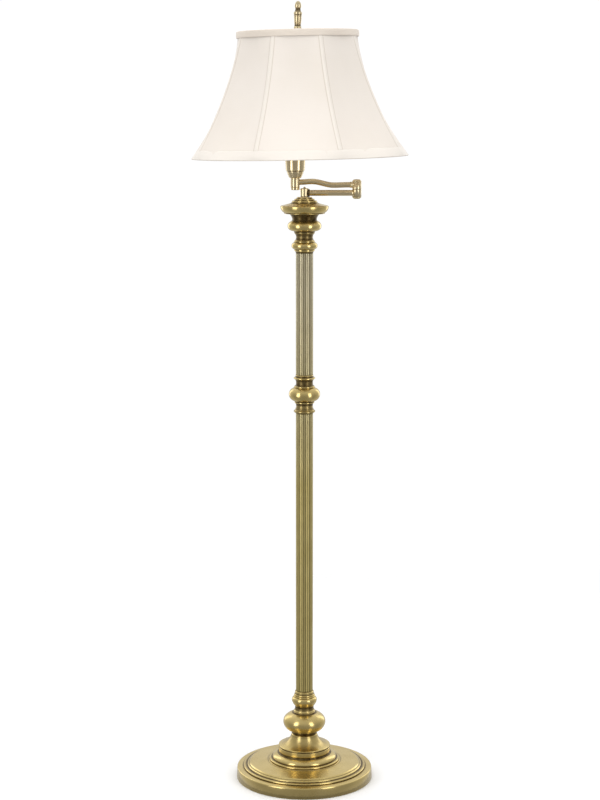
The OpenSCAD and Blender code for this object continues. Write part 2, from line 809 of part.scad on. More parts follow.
module socket_cap() {
    color(antique_brass) translate([head_x, 0, socket_z]) rotate_extrude() polygon(concat(
        [[5, 0], [9, 0]],
        curve([10, 0.4], [14, 1.6], [16.6, 4.4], [socket_r, 8], 6),
        [[socket_r, socket_cap_h], [socket_r - 1, socket_cap_h], [socket_r - 1, 8], [8.6, 1.4], [5, 1.4]]
    ));
}

module socket_shell() {
    color(antique_brass) translate([head_x, 0, 0]) difference() {
        ring(socket_r, socket_r - 0.8, shell_z, shell_h);
        translate([0, 0, knob_z]) rotate([90, 0, 0]) cylinder(r = 2.4, h = 20);
    }
}

module socket_body() {
    color("saddlebrown") translate([head_x, 0, 0]) difference() {
        translate([0, 0, shell_z + 0.8]) cylinder(r = body_r, h = body_h - 0.2);
        translate([0, 0, knob_z]) rotate([90, 0, 0]) cylinder(r = knob_shaft_r + run_gap, h = 20);
    }
}

module screw_shell() {
    color("silver") translate([head_x, 0, 0]) ring(screw_r, screw_bore_r, screw_z, screw_h);
}

module bulb_base() {
    color("silver") translate([head_x, 0, bulb_z]) rotate_extrude() polygon(concat(
        [[0, -2], [3.6, -2], [4.4, 0], [9, 0.8], [12.2, 3.6]],
        [for (i = [0:3]) each [[bulb_base_r, 4.6 + 3.6 * i], [bulb_base_r - 0.9, 6.4 + 3.6 * i]]],
        [[12.4, 20], [13, bulb_base_h], [0, bulb_base_h]]
    ));
}

module bulb_glass() {
    middle = bulb_glass_h - bulb_r;
    color("white") translate([head_x, 0, bulb_z + bulb_base_h]) rotate_extrude() polygon(concat(
        [[0, 0.1], [12.8, 0.1]],
        curve([13, 4], [14, middle * 0.45], [bulb_r, middle * 0.5], [bulb_r, middle], 12),
        [for (i = [1:10]) let (a = 9 * i) [bulb_r * cos(a), middle + bulb_r * sin(a)]]
    ));
}

// ---- Switch ----

module switch_knob() {
    color("black") translate([head_x, 0, knob_z]) rotate([90, 0, 0]) {
        translate([0, 0, 6]) cylinder(r = knob_shaft_r, h = knob_y - 5.5);
        translate([0, 0, knob_y]) rotate_extrude() polygon([
            [0, 0], [3.4, 0], [4.4, 1.4], [3, 4], [6.2, 6.4], [6.4, knob_len - 1.2],
            [5.4, knob_len], [0, knob_len]
        ]);
    }
}

// ---- Shade ----

// Places its children in the frame of the shade, which hangs from the harp's stud
module on_stud() {
    on_saddle() translate([0, 0, hub_plate_z + hub_plate_t / 2])
        rotate([0, -harp_lean - shade_tilt, 0]) rotate([0, 0, -shade_spin]) children();
}

// Point [radius, height] of a rib's fabric edge, from the top at t = 0 to the bottom at t = 1
function rib_at(t) = on_curve(
    [shade_top_r, fabric_top_z], [shade_top_r + 37, fabric_top_z - 0.632 * shade_h],
    [shade_bottom_r + 2, fabric_bottom_z + 0.07 * shade_h], [shade_bottom_r, fabric_bottom_z], t
);

// How flat the fabric lies between two ribs: 0 round at the rings, 1 straight across
function flatness(z) = pow(max(0, sin(180 * (z - fabric_bottom_z) / (shade_h + 3))), 0.6);

// Fabric surface at azimuth a and rib parameter t, moved out by offset
function fabric_at(a, t, offset) =
    let (
        p = rib_at(t),
        d = a - panel_angle * round(a / panel_angle),
        f = flatness(p[1]),
        r = p[0] * (1 - f + f * cos(panel_angle / 2) / cos(d)) + offset
    )
    [r * sin(a), -r * cos(a), p[1]];

function fabric_grid(a0, a1, n, offset) = [
    for (i = [0:rows]) [for (j = [0:n]) fabric_at(a0 + (a1 - a0) * j / n, i / rows, offset)]
];

module shade_spider() {
    arm_start = hub_plate_r - 2;
    arm_run = top_ring_r - ring_wire_r - 0.2 - arm_start;
    color(antique_brass) on_stud() difference() {
        union() {
            translate([0, 0, -hub_plate_t / 2]) cylinder(r = hub_plate_r, h = hub_plate_t);
            for (i = [0:spider_arms - 1])
                rotate([0, 0, 90 + 360 * i / spider_arms]) translate([arm_start, 0, 0])
                    rotate([0, atan(-top_ring_z / arm_run), 0])
                        bar_x(0, norm([arm_run, top_ring_z]), 0, spider_wire_r);
        }
        translate([0, 0, -5]) cylinder(r = stud_r + run_gap, h = 10);
    }
}

module wire_ring(r, z) {
    translate([0, 0, z]) rotate_extrude() translate([r, 0]) circle(r = ring_wire_r, $fn = 32);
}

module shade_top_ring() {
    color(antique_brass) on_stud() wire_ring(top_ring_r, top_ring_z);
}

module shade_bottom_ring() {
    color(antique_brass) on_stud() wire_ring(bottom_ring_r, bottom_ring_z);
}

module shade_ribs() {
    path = [
        for (i = [0:rows]) rib_at(rib_start + (rib_end - rib_start) * i / rows) - [rib_inset, 0]
    ];
    color(antique_brass) on_stud() for (i = [0:panel_count - 1])
        rotate([0, 0, panel_angle * (i + 0.5) - 90]) rod_xz(path, rib_wire_r, 6);
}

module shade_panels() {
    gap = 0.06;
    color(silk) on_stud() for (i = [0:panel_count - 1])
        let (a0 = panel_angle * (i - 0.5) + gap, a1 = panel_angle * (i + 0.5) - gap)
        slab(
            fabric_grid(a0, a1, columns, 0),
            fabric_grid(a0, a1, columns, -fabric_t)
        );
}

// Narrow tapes sewn over the panel seams
module shade_tapes() {
    half = tape_w / 2;
    color(trim_silk) on_stud() for (i = [0:panel_count - 1]) {
        grid = [
            for (offset = [tape_lift + tape_t, tape_lift]) [
                for (k = [0:rows]) [
                    for (j = [-1:1])
                        let (
                            t = tape_start + (tape_end - tape_start) * k / rows,
                            half_angle = half / rib_at(t)[0] * 180 / PI
                        )
                        fabric_at(panel_angle * (i + 0.5) + j * half_angle, t, offset)
                ]
            ]
        ];
        slab(grid[0], grid[1]);
    }
}

module shade_top_trim() {
    r = shade_top_r;
    z = fabric_top_z;
    color(trim_silk) on_stud() rotate_extrude() polygon(concat(
        [[r + 1.3, z - 4]],
        curve([r + 2.3, z - 3.9], [r + 2.7, z - 1], [r + 2.7, z + 3], [r + 2.3, z + 6], 6),
        curve([r + 1.9, z + 8], [r + 0.6, z + 9.3], [r - 2.4, z + 9.4], [r - 3.4, z + 7], 6),
        [[r - 2.4, z + 5.2], [r + 0.9, z + 5.2]]
    ));
}

module shade_bottom_trim() {
    steps = 4;
    count = 64;
    grid = [
        for (offset = [1.5, 0.7]) concat(
            [
                for (k = [0:steps]) [
                    for (j = [0:count - 1])
                        fabric_at(360 * j / count, trim_start + (1 - trim_start) * k / steps, offset)
                ]
            ],
            [[for (j = [0:count - 1]) fabric_at(360 * j / count, 1, offset + trim_lip_out) - [0, 0, trim_lip]]]
        )
    ];
    color(trim_silk) on_stud() slab(grid[0], grid[1], wrap = true);
}

felt_pad();
base_weight();
base_shell();
cord_bushing();
base_washer();
base_nut();
tie_pipe();
base_pedestal();
lower_vase();
lower_collar();
lower_column();
coupling_base();
coupling_ball();
coupling_top();
upper_column();
neck_bulb();
neck_vase();
saucer();
step_cap();
pivot_nipple();
pivot_clip();
pivot_washer();
column_wire();
post_knuckle();
post_screw();
lower_arm_tube();
elbow_lower();
elbow_lower_cap();
elbow_nipple();
elbow_clip();
lower_arm_wire();
elbow_upper();
elbow_upper_cap();
upper_arm_tube();
head_hub();
hub_cap();
socket_cone();
socket_cup();
socket_nipple();
harp_saddle();
harp();
harp_sleeves();
harp_stud();
finial();
socket_cap();
socket_shell();
socket_body();
screw_shell();
bulb_base();
bulb_glass();
upper_arm_wire();
switch_knob();
shade_spider();
shade_top_ring();
shade_bottom_ring();
shade_ribs();
shade_panels();
shade_tapes();
shade_top_trim();
shade_bottom_trim();
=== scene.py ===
import json
import math

import bmesh
import bpy
import numpy as np
from mathutils import Matrix, Vector, noise

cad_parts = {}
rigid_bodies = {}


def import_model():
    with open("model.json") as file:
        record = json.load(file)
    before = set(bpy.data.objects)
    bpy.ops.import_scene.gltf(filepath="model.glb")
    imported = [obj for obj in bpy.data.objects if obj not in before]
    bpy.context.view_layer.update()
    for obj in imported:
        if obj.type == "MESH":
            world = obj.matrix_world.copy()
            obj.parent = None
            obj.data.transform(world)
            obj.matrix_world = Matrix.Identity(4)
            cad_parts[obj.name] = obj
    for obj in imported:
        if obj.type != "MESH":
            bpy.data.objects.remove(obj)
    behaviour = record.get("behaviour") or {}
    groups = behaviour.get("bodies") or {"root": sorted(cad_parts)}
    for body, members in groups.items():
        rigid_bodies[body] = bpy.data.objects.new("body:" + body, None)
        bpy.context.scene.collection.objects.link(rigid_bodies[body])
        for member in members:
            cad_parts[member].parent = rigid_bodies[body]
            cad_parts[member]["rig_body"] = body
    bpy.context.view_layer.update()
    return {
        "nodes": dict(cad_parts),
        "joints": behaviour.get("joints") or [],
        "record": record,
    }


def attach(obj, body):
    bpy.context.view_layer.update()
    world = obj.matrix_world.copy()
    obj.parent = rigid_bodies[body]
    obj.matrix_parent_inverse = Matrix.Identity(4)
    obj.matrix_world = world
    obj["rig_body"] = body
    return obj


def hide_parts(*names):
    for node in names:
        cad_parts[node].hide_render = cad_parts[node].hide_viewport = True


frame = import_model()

# Shapes are written in millimetres, as in the CAD, and scaled to metres when a mesh is made.
MM = 0.001
SLOTS = {part["node"]: part["material_slot"] for part in frame["record"]["subparts"]}

# Column: radius of the tubes, number of reeds, and where each tube starts and how long it is.
COLUMN_R = 17
REEDS = 24
LOWER_COLUMN = (181, 569)
UPPER_COLUMN = (826, 241)

# Arm: the hinge on the column, the two links above it, and the upright hinge at the elbow.
PIVOT_Z = 1175
LOWER_LINK_Z = PIVOT_Z + 8
UPPER_LINK_Z = PIVOT_Z + 23.7
HUB_LINK_Z = PIVOT_Z + 28.8
ELBOW_X = 101.5
ELBOW_R = 9

# Head: its axis, the face that the harp saddle rests on, the harp's lean and the socket's knob.
HEAD_X = -18
SADDLE_TOP_Z = 1258.7
HARP_LEAN = 1.1
KNOB_Z = 1282.7

# Shade, from its own top: the fabric's outline, its panels, and the wires inside it.
TOP_R = 115.5
BOTTOM_R = 209
TOP_Z = -8.6
BOTTOM_Z = -238.6
DROP = 230
PANELS = 8
HALF_PANEL = math.pi / PANELS
SHADE_SPIN = -1
RIB_INSET = 2.3
RING_WIRE_R = 1.5
SPIDER_WIRE_R = 1.6
SPIDER_ARMS = 3

# ---------------------------------------------------------------- camera and light


def look_at(obj, target):
    obj.rotation_euler = (Vector(target) - obj.location).to_track_quat("-Z", "Y").to_euler()


def add_camera():
    data = bpy.data.cameras.new("camera")
    data.lens = 85.05
    data.sensor_width = 36
    data.clip_start = 0.05
    data.clip_end = 60
    obj = bpy.data.objects.new("camera", data)
    obj.location = (-0.0088, -3.69, 1.36)
    obj.rotation_euler = (math.radians(81), 0, 0)
    bpy.context.scene.collection.objects.link(obj)
    bpy.context.scene.camera = obj


def add_softbox(name, azimuth, distance, height, width, tall, power, target_z):
    """Rectangular softbox; azimuth is 0 beside the camera and grows to the right of it."""
    data = bpy.data.lights.new(name, "AREA")
    data.shape = "RECTANGLE"
    data.size = width
    data.size_y = tall
    data.energy = power
    obj = bpy.data.objects.new(name, data)
    a = math.radians(azimuth)
    obj.location = (distance * math.sin(a), -distance * math.cos(a), height)
    look_at(obj, (0, 0, target_z))
    obj.visible_camera = False
    bpy.context.scene.collection.objects.link(obj)


def add_lights():
    add_softbox("left", -47, 2.3, 1.15, 0.85, 2.2, 17, 1.05)
    add_softbox("right", 41, 2.3, 1.15, 0.75, 2.2, 15, 1.05)
    add_softbox("back_left", -140, 2.6, 1.3, 0.8, 2.2, 7, 1.0)
    add_softbox("back_right", 140, 2.6, 1.3, 0.8, 2.2, 7, 1.0)
    add_softbox("top", 0, 0.3, 3.2, 2.6, 2.6, 33, 0)
    bpy.data.objects["top"].visible_glossy = False


def add_world():
    """White behind the lamp for the camera. As light it is brighter above and behind than in front."""
    world = bpy.data.worlds.new("studio")
    bpy.context.scene.world = world
    world.use_nodes = True
    nodes, links = world.node_tree.nodes, world.node_tree.links
    nodes.clear()
    seen = nodes.new("ShaderNodeBackground")
    seen.inputs["Color"].default_value = (1, 1, 1, 1)
    seen.inputs["Strength"].default_value = 1.02
    fill = nodes.new("ShaderNodeBackground")
    fill.inputs["Color"].default_value = (1, 1, 1, 1)
    way = nodes.new("ShaderNodeTexCoord")
    split = nodes.new("ShaderNodeSeparateXYZ")
    links.new(way.outputs["Generated"], split.inputs[0])

    def ramp(socket, low, high, to_low, to_high):
        node = nodes.new("ShaderNodeMapRange")
        node.interpolation_type = "SMOOTHSTEP"
        links.new(socket, node.inputs["Value"])
        inputs = {"From Min": low, "From Max": high, "To Min": to_low, "To Max": to_high}
        for key, value in inputs.items():
            node.inputs[key].default_value = value
        return node.outputs[0]

    total = nodes.new("ShaderNodeMath")
    links.new(ramp(split.outputs["Z"], -0.3, 0.9, 0.35, 0.68), total.inputs[0])
    links.new(ramp(split.outputs["Y"], -0.3, 0.8, 0.0, 0.30), total.inputs[1])
    links.new(total.outputs[0], fill.inputs["Strength"])
    path = nodes.new("ShaderNodeLightPath")
    mix = nodes.new("ShaderNodeMixShader")
    out = nodes.new("ShaderNodeOutputWorld")
    links.new(path.outputs["Is Camera Ray"], mix.inputs["Fac"])
    links.new(fill.outputs[0], mix.inputs[1])
    links.new(seen.outputs[0], mix.inputs[2])
    links.new(mix.outputs[0], out.inputs["Surface"])


# ---------------------------------------------------------------- materials


def linear(r, g, b):
    """Linear colour of an sRGB colour with channels from 0 to 255."""
    return tuple(
        c / 12.92 if c <= 0.04045 else ((c + 0.055) / 1.055) ** 2.4
        for c in (r / 255, g / 255, b / 255)
    ) + (1,)


class Shader:
    """A new material with a Principled shader, and short calls to add nodes to it."""

    def __init__(self, name, **constants):
        self.material = bpy.data.materials.new(name)
        self.material.use_nodes = True
        self.tree = self.material.node_tree
        self.principled = self.tree.nodes["Principled BSDF"]
        for socket, value in constants.items():
            self.principled.inputs[socket.replace("_", " ")].default_value = value

    def add(self, kind, inputs=(), **settings):
        node = self.tree.nodes.new("ShaderNode" + kind)
        for key, value in settings.items():
            setattr(node, key, value)
        for key, value in dict(inputs).items():
            if isinstance(value, bpy.types.NodeSocket):
                self.tree.links.new(value, node.inputs[key])
            else:
                node.inputs[key].default_value = value
        return node

    def attribute(self, name):
        return self.add("Attribute", attribute_name=name).outputs["Fac"]

    def place(self):
        return self.add("TexCoord").outputs["Object"]

    def uv(self):
        return self.add("TexCoord").outputs["UV"]

    def scaled(self, vector, x, y, z):
        return self.add("Mapping", {"Vector": vector, "Scale": (x, y, z)}).outputs[0]

    def noise(self, vector, scale, detail=3, roughness=0.5):
        inputs = {"Vector": vector, "Scale": scale, "Detail": detail, "Roughness": roughness}
        return self.add("TexNoise", inputs).outputs["Fac"]

    def math(self, operation, a, b=0.0):
        return self.add("Math", {0: a, 1: b}, operation=operation).outputs[0]

    def remap(self, value, low, high, to_low, to_high):
        inputs = {"Value": value, 1: low, 2: high, 3: to_low, 4: to_high}
        return self.add("MapRange", inputs).outputs[0]

    def mix(self, factor, a, b):
        node = self.add("Mix", {"Factor": factor}, data_type="RGBA")
        for socket, value in zip((node.inputs[6], node.inputs[7]), (a, b)):
            if isinstance(value, bpy.types.NodeSocket):
                self.tree.links.new(value, socket)
            else:
                socket.default_value = value
        return node.outputs[2]

    def bump(self, height, strength, distance):
        inputs = {"Height": height, "Strength": strength, "Distance": distance}
        return self.add("Bump", inputs).outputs[0]

    def connect(self, **sockets):
        for name, value in sockets.items():
            self.tree.links.new(value, self.principled.inputs[name.replace("_", " ")])
        return self.material


def brass(name, bright, worn, dull, dark, pale, painted_light_z, smooth, rough):
    """Lacquered antique brass: dark in its grooves and necks, partly patina and partly painted shade,
    rubbed bright on its edges, with fine turning lines. It turns paler between its two given heights
    and stays paler above them, a painted reflection of the brighter light higher up."""
    s = Shader(name, Metallic=1.0, Anisotropic=0.75, Anisotropic_Rotation=0.25)
    place = s.place()
    relief = s.attribute("relief")
    groove = s.remap(relief, 0.05, 0.5, 0, 1)
    edge = s.remap(relief, -0.1, -0.8, 0, 1)
    patina = s.remap(s.noise(place, 26, 5, 0.62), 0.35, 0.68, 0, 1)
    mottle = s.noise(place, 300, 3, 0.5)
    turning = s.add("TexNoise", {"W": s.math("MULTIPLY", s.attribute("turn"), 2600), "Scale": 1,
                                 "Detail": 2}, noise_dimensions="1D").outputs["Fac"]
    colour = s.mix(s.math("MULTIPLY", patina, 0.6), bright, dull)
    level = s.add("SeparateXYZ", {0: place}).outputs["Z"]
    # Painted reflection: higher parts are mixed towards the pale colour, as if they mirrored a brighter
    # studio.
    colour = s.mix(s.remap(level, *painted_light_z, 0, 0.8), colour, pale)
    colour = s.mix(s.math("MULTIPLY", s.remap(mottle, 0.45, 0.8, 0, 1), 0.15), colour, dull)
    colour = s.mix(s.math("MULTIPLY", edge, 0.55), colour, worn)
    # Patina and painted shade: grooves and the given necks are darkened towards the dark colour.
    patina_and_shade = s.math("MULTIPLY", groove, s.remap(s.noise(place, 140, 3), 0.3, 0.7, 0.75, 1))
    colour = s.mix(patina_and_shade, colour, dark)
    roughness = s.math("ADD", s.remap(patina, 0, 1, smooth, rough), s.math("MULTIPLY", groove, 0.2))
    height = s.math("ADD", s.math("MULTIPLY", turning, 0.8), s.math("MULTIPLY", mottle, 0.2))
    tangent = s.add("Tangent", direction_type="RADIAL", axis="Z").outputs[0]
    return s.connect(
        Base_Color=colour, Roughness=roughness, Normal=s.bump(height, 0.03, 0.0002), Tangent=tangent
    )


def silk(name, base, shade, painted_shadow_colour, fresh, weave_scale):
    """Off-white silk: plain weave with slubs along the weft, a soft sheen, painted shadow lines where
    the mesh says so, and the fresh colour where the mesh says so."""
    s = Shader(name, Sheen_Weight=0.25, Sheen_Roughness=0.45, Specular_IOR_Level=0.25)
    uv = s.uv()
    place = s.place()
    cloud = s.remap(s.noise(place, 9, 3), 0.35, 0.65, 0, 1)
    slub = s.noise(s.scaled(uv, 40, 1500, 1), 1, 3, 0.6)
    thread = s.noise(s.scaled(uv, 1900, 60, 1), 1, 2, 0.5)
    colour = s.mix(s.math("MULTIPLY", cloud, 0.5), base, shade)
    colour = s.mix(s.math("MULTIPLY", s.remap(slub, 0.5, 0.75, 0, 1), 0.35), colour, shade)
    colour = s.mix(s.attribute("fresh"), colour, fresh)
    # Painted shadow: lines beside the tapes, along the cuff's lower edge and under the hem's lip.
    colour = s.mix(s.attribute("painted_shadow"), colour, painted_shadow_colour)
    warp = s.add("TexWave", {"Vector": uv, "Scale": weave_scale, "Distortion": 0.4},
                 wave_type="BANDS", bands_direction="X").outputs["Fac"]
    weft = s.add("TexWave", {"Vector": uv, "Scale": weave_scale, "Distortion": 0.4},
                 wave_type="BANDS", bands_direction="Y").outputs["Fac"]
    height = s.math("ADD", s.math("MULTIPLY", warp, weft), s.math("ADD", slub, thread))
    roughness = s.remap(slub, 0.3, 0.7, 0.72, 0.88)
    return s.connect(Base_Color=colour, Roughness=roughness, Normal=s.bump(height, 0.25, 0.0002))


def plain(name, colour, second, scale, rough, bump=0.1, **constants):
    """Cast, moulded or drawn material with fine mottling."""
    s = Shader(name, **constants)
    place = s.place()
    coarse = s.noise(place, scale, 4, 0.6)
    fine = s.noise(place, scale * 9, 3)
    return s.connect(
        Base_Color=s.mix(s.remap(coarse, 0.3, 0.7, 0, 1), colour, second),
        Roughness=s.remap(fine, 0.3, 0.7, rough[0], rough[1]),
        Normal=s.bump(fine, bump, 0.0003),
    )


def make_materials():
    return {
        # In each brass below, the fifth colour and the two heights after it give the painted reflection
        # higher up.
        "antique_brass": brass(
            "antique brass", (0.70, 0.55, 0.235, 1), (0.82, 0.70, 0.44, 1),
            (0.57, 0.43, 0.155, 1), (0.07, 0.04, 0.014, 1),
            (0.74, 0.62, 0.41, 1), (1.172, 1.178), 0.23, 0.28,
        ),
        "column_brass": brass(
            "column brass", (0.60, 0.50, 0.21, 1), (0.70, 0.61, 0.35, 1),
            (0.50, 0.41, 0.155, 1), (0.14, 0.105, 0.042, 1),
            (0.60, 0.55, 0.41, 1), (0.6, 1.0), 0.40, 0.48,
        ),
        "plated_steel": plain("plated steel", linear(176, 178, 178), linear(140, 141, 140), 90,
                              (0.25, 0.4), Metallic=1.0),
        "cast_iron": plain("cast iron", linear(52, 52, 54), linear(36, 36, 38), 160,
                           (0.55, 0.8), 0.6, Metallic=0.3),
        "felt": plain("felt", linear(38, 62, 44), linear(28, 48, 34), 500, (0.9, 1), 0.8,
                      Sheen_Weight=0.4),
        "black_rubber": plain("black rubber", linear(34, 34, 34), linear(24, 24, 24), 200, (0.55, 0.7)),
        "black_plastic": plain("black plastic", linear(30, 28, 27), linear(22, 21, 20), 200,
                               (0.3, 0.42)),
        "nylon": plain("nylon", linear(226, 220, 204), linear(212, 205, 188), 120, (0.4, 0.55)),
        "wire_sleeve": plain("wire sleeve", linear(70, 62, 46), linear(52, 46, 34), 250, (0.45, 0.6)),
        "phenolic": plain("phenolic", linear(58, 38, 26), linear(44, 29, 20), 150, (0.3, 0.45)),
        "aluminium": plain("aluminium", linear(200, 202, 204), linear(172, 174, 176), 150,
                           (0.25, 0.38), Metallic=1.0),
        "bulb_glass": plain("bulb glass", linear(244, 242, 236), linear(234, 232, 226), 60,
                            (0.3, 0.4), 0.02, Coat_Weight=0.6, Coat_Roughness=0.1),
        # In each silk below, the third colour is the painted shadow colour.
        "shade_silk": silk("shade silk", linear(237, 229, 220), linear(231, 222, 211),
                           linear(176, 160, 136), linear(237, 229, 220), 900),
        "shade_trim": silk("shade trim", linear(232, 221, 208), linear(222, 210, 196),
                           linear(160, 146, 126), linear(238, 231, 222), 700),
        "shade_wire": brass(
            "shade wire", (0.66, 0.53, 0.25, 1), (0.78, 0.66, 0.36, 1),
            (0.50, 0.40, 0.18, 1), (0.10, 0.06, 0.016, 1),
            (0.66, 0.56, 0.36, 1), (1.172, 1.178), 0.24, 0.34,
        ),
    }


# ---------------------------------------------------------------- outlines


def curve(a, b, c, d, n=8):
    """2 n steps along a cubic curve from a to d, pulled towards b and then c."""
    t = np.linspace(0, 1, 2 * n + 1)[:, None]
    a, b, c, d = (np.array(p, float) for p in (a, b, c, d))
    return list((1 - t) ** 3 * a + 3 * (1 - t) ** 2 * t * b + 3 * (1 - t) * t * t * c + t**3 * d)


def bead(r, z, h, n=12):
    angles = np.radians(np.linspace(-90, 90, n + 1))
    return [(r + h / 2 * math.cos(a), z + h / 2 + h / 2 * math.sin(a)) for a in angles]


def round_edge(r, z, e, n=6):
    angles = np.radians(np.linspace(0, 90, n + 1))
    return [(r - e + e * math.cos(a), z - e + e * math.sin(a)) for a in angles]


def softened(outline, radius=0.35):
    """The outline with each sharp corner rounded, and a point kept close to it on each flat."""
    points = [np.array(p, float) for p in outline]
    points = [p for i, p in enumerate(points) if i == 0 or np.linalg.norm(p - points[i - 1]) > 1e-4]
    made = [points[0]]
    for before, corner, after in zip(points, points[1:], points[2:]):
        back, on = before - corner, after - corner
        back_run, on_run = np.linalg.norm(back), np.linalg.norm(on)
        back, on = back / back_run, on / on_run
        turn = math.pi - math.acos(max(-1, min(1, float(back @ on))))
        if turn < math.radians(18):
            made.append(corner)
            continue
        cut = min(radius * math.tan(turn / 2), 0.4 * back_run, 0.4 * on_run)
        start, end = corner + cut * back, corner + cut * on
        if back_run > 4 * cut + 1:
            made.append(start + 0.4 * back)
        made += [
            (1 - t) ** 2 * start + 2 * (1 - t) * t * corner + t * t * end
            for t in (0, 0.25, 0.5, 0.75, 1)
        ]
        if on_run > 4 * cut + 1:
            made.append(end + 0.4 * on)
    made.append(points[-1])
    return np.array(made)


def relief_along(points):
    """Signed relief of each point of an outline, up to 1 deep in a groove and down to -1 on an edge."""
    run = np.concatenate([[0], np.cumsum(np.linalg.norm(np.diff(points, axis=0), axis=1))])
    step = 0.2
    place = np.arange(0, run[-1] + step, step)
    fine = np.stack([np.interp(place, run, points[:, k]) for k in (0, 1)], axis=1)
    tangent = np.gradient(fine, axis=0)
    tangent /= np.linalg.norm(tangent, axis=1)[:, None] + 1e-9
    outward = np.stack([tangent[:, 1], -tangent[:, 0]], axis=1)
    relief = np.zeros(len(fine))
    for width in (1.0, 3.0):
        reach = int(3 * width / step)
        kernel = np.exp(-0.5 * (np.arange(-reach, reach + 1) * step / width) ** 2)
        padded = np.pad(fine, ((reach, reach), (0, 0)), mode="edge")
        smooth = np.stack(
            [np.convolve(padded[:, k], kernel / kernel.sum(), mode="valid") for k in (0, 1)], axis=1
        )
        lift = ((smooth - fine) * outward).sum(axis=1) / (0.3 * width)
        relief = np.where(np.abs(lift) > np.abs(relief), lift, relief)
    return np.interp(run, place, np.clip(relief, -1, 1))


# ---------------------------------------------------------------- meshes


def grid(name, rows, wrap=False, attributes=(), uv=None, weld=True):
    """A smooth mesh through rows of points in metres; wrap joins each row's last point to its first."""
    rows = np.asarray(rows, float)
    n, m = rows.shape[:2]
    index = np.arange(n * m).reshape(n, m)
    near, far = index[:-1], index[1:]
    if wrap:
        quads = [near, np.roll(near, -1, axis=1), np.roll(far, -1, axis=1), far]
    else:
        quads = [near[:, :-1], near[:, 1:], far[:, 1:], far[:, :-1]]
    faces = np.stack(quads, axis=-1).reshape(-1, 4)
    mesh = bpy.data.meshes.new(name)
    mesh.from_pydata(rows.reshape(-1, 3).tolist(), [], faces.tolist())
    for key, values in dict(attributes).items():
        layer = mesh.attributes.new(key, "FLOAT", "POINT")
        layer.data.foreach_set("value", np.broadcast_to(values, (n, m)).reshape(-1).astype(np.float32))
    if uv is not None:
        layer = mesh.uv_layers.new(name="UVMap")
        corners = np.asarray(uv, np.float32).reshape(-1, 2)[faces.reshape(-1)]
        layer.data.foreach_set("uv", corners.reshape(-1))
    if weld:
        edit = bmesh.new()
        edit.from_mesh(mesh)
        bmesh.ops.remove_doubles(edit, verts=edit.verts, dist=1e-7)
        bmesh.ops.recalc_face_normals(edit, faces=edit.faces)
        edit.to_mesh(mesh)
        edit.free()
    mesh.shade_smooth()
    obj = bpy.data.objects.new(name, mesh)
    bpy.context.scene.collection.objects.link(obj)
    return obj


def stand_for(obj, node):
    """obj takes the place of a CAD node: its body, its slot and its material."""
    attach(obj, frame["nodes"][node]["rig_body"])
    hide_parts(node)
    obj.data.materials.append(MATERIALS[SLOTS[node]])
    return obj


def moved(x=0.0, y=0.0, z=0.0):
    return Matrix.Translation((x, y, z))


def placed(points, matrix):
    """Points in millimetres, moved by the matrix and scaled to metres."""
    points = np.asarray(points, float)
    m = np.array(matrix)
    return (points @ m[:3, :3].T + m[:3, 3]) * MM


def turned(node, outline, matrix=Matrix(), relief=None, hole=0.0, sides=128, ends=True, flutes=None):
    """A lathe-turned part that stands for a CAD node. flutes is (count, depth, smallest radius)."""
    outline = np.asarray(outline)
    if relief is None:
        relief = relief_along(outline)
    if ends:
        outline = np.vstack([[hole, outline[0][1]], outline, [hole, outline[-1][1]]])
        relief = np.concatenate([[0.6], relief, [0.6]])
    angles = np.linspace(0, 2 * math.pi, sides, endpoint=False)
    r = np.repeat(outline[:, :1], sides, axis=1)
    if flutes:
        count, depth, least = flutes
        r = np.where(r > least, r - depth * np.abs(np.sin(count / 2 * angles)), r)
    z = np.repeat(outline[:, 1:], sides, axis=1)
    points = np.stack([r * np.cos(angles), r * np.sin(angles), z], axis=-1)
    run = np.concatenate([[0], np.cumsum(np.linalg.norm(np.diff(outline, axis=0), axis=1))]) * MM
    marks = {"relief": relief[:, None], "turn": run[:, None]}
    return stand_for(grid(node + "_turned", placed(points, matrix), True, marks), node)


def stack(parts, matrix=Matrix(), sides=128, patina_and_shade_necks=()):
    """Turned parts standing on each other: parts is a list of (node, outline, z, hole). A name that
    starts with * only shapes the relief of its neighbours. The necks given as the last argument are
    darkened, partly patina and partly painted shade, as (lowest z, highest z, depth)."""
    outlines = [softened(outline) + [0, z] for _, outline, z, _ in parts]
    chain = np.vstack(outlines)
    relief = relief_along(chain)
    # Patina and painted shade: the given necks are darkened through their relief.
    for low, high, depth in patina_and_shade_necks:
        inside = np.clip(np.minimum(chain[:, 1] - low, high - chain[:, 1]) / 1.2, 0, 1)
        relief = np.maximum(relief, depth * inside)
    start = 0
    for (node, _, _, hole), outline in zip(parts, outlines):
        if not node.startswith("*"):
            turned(node, outline, matrix, relief[start : start + len(outline)], hole, sides)
        start += len(outline)


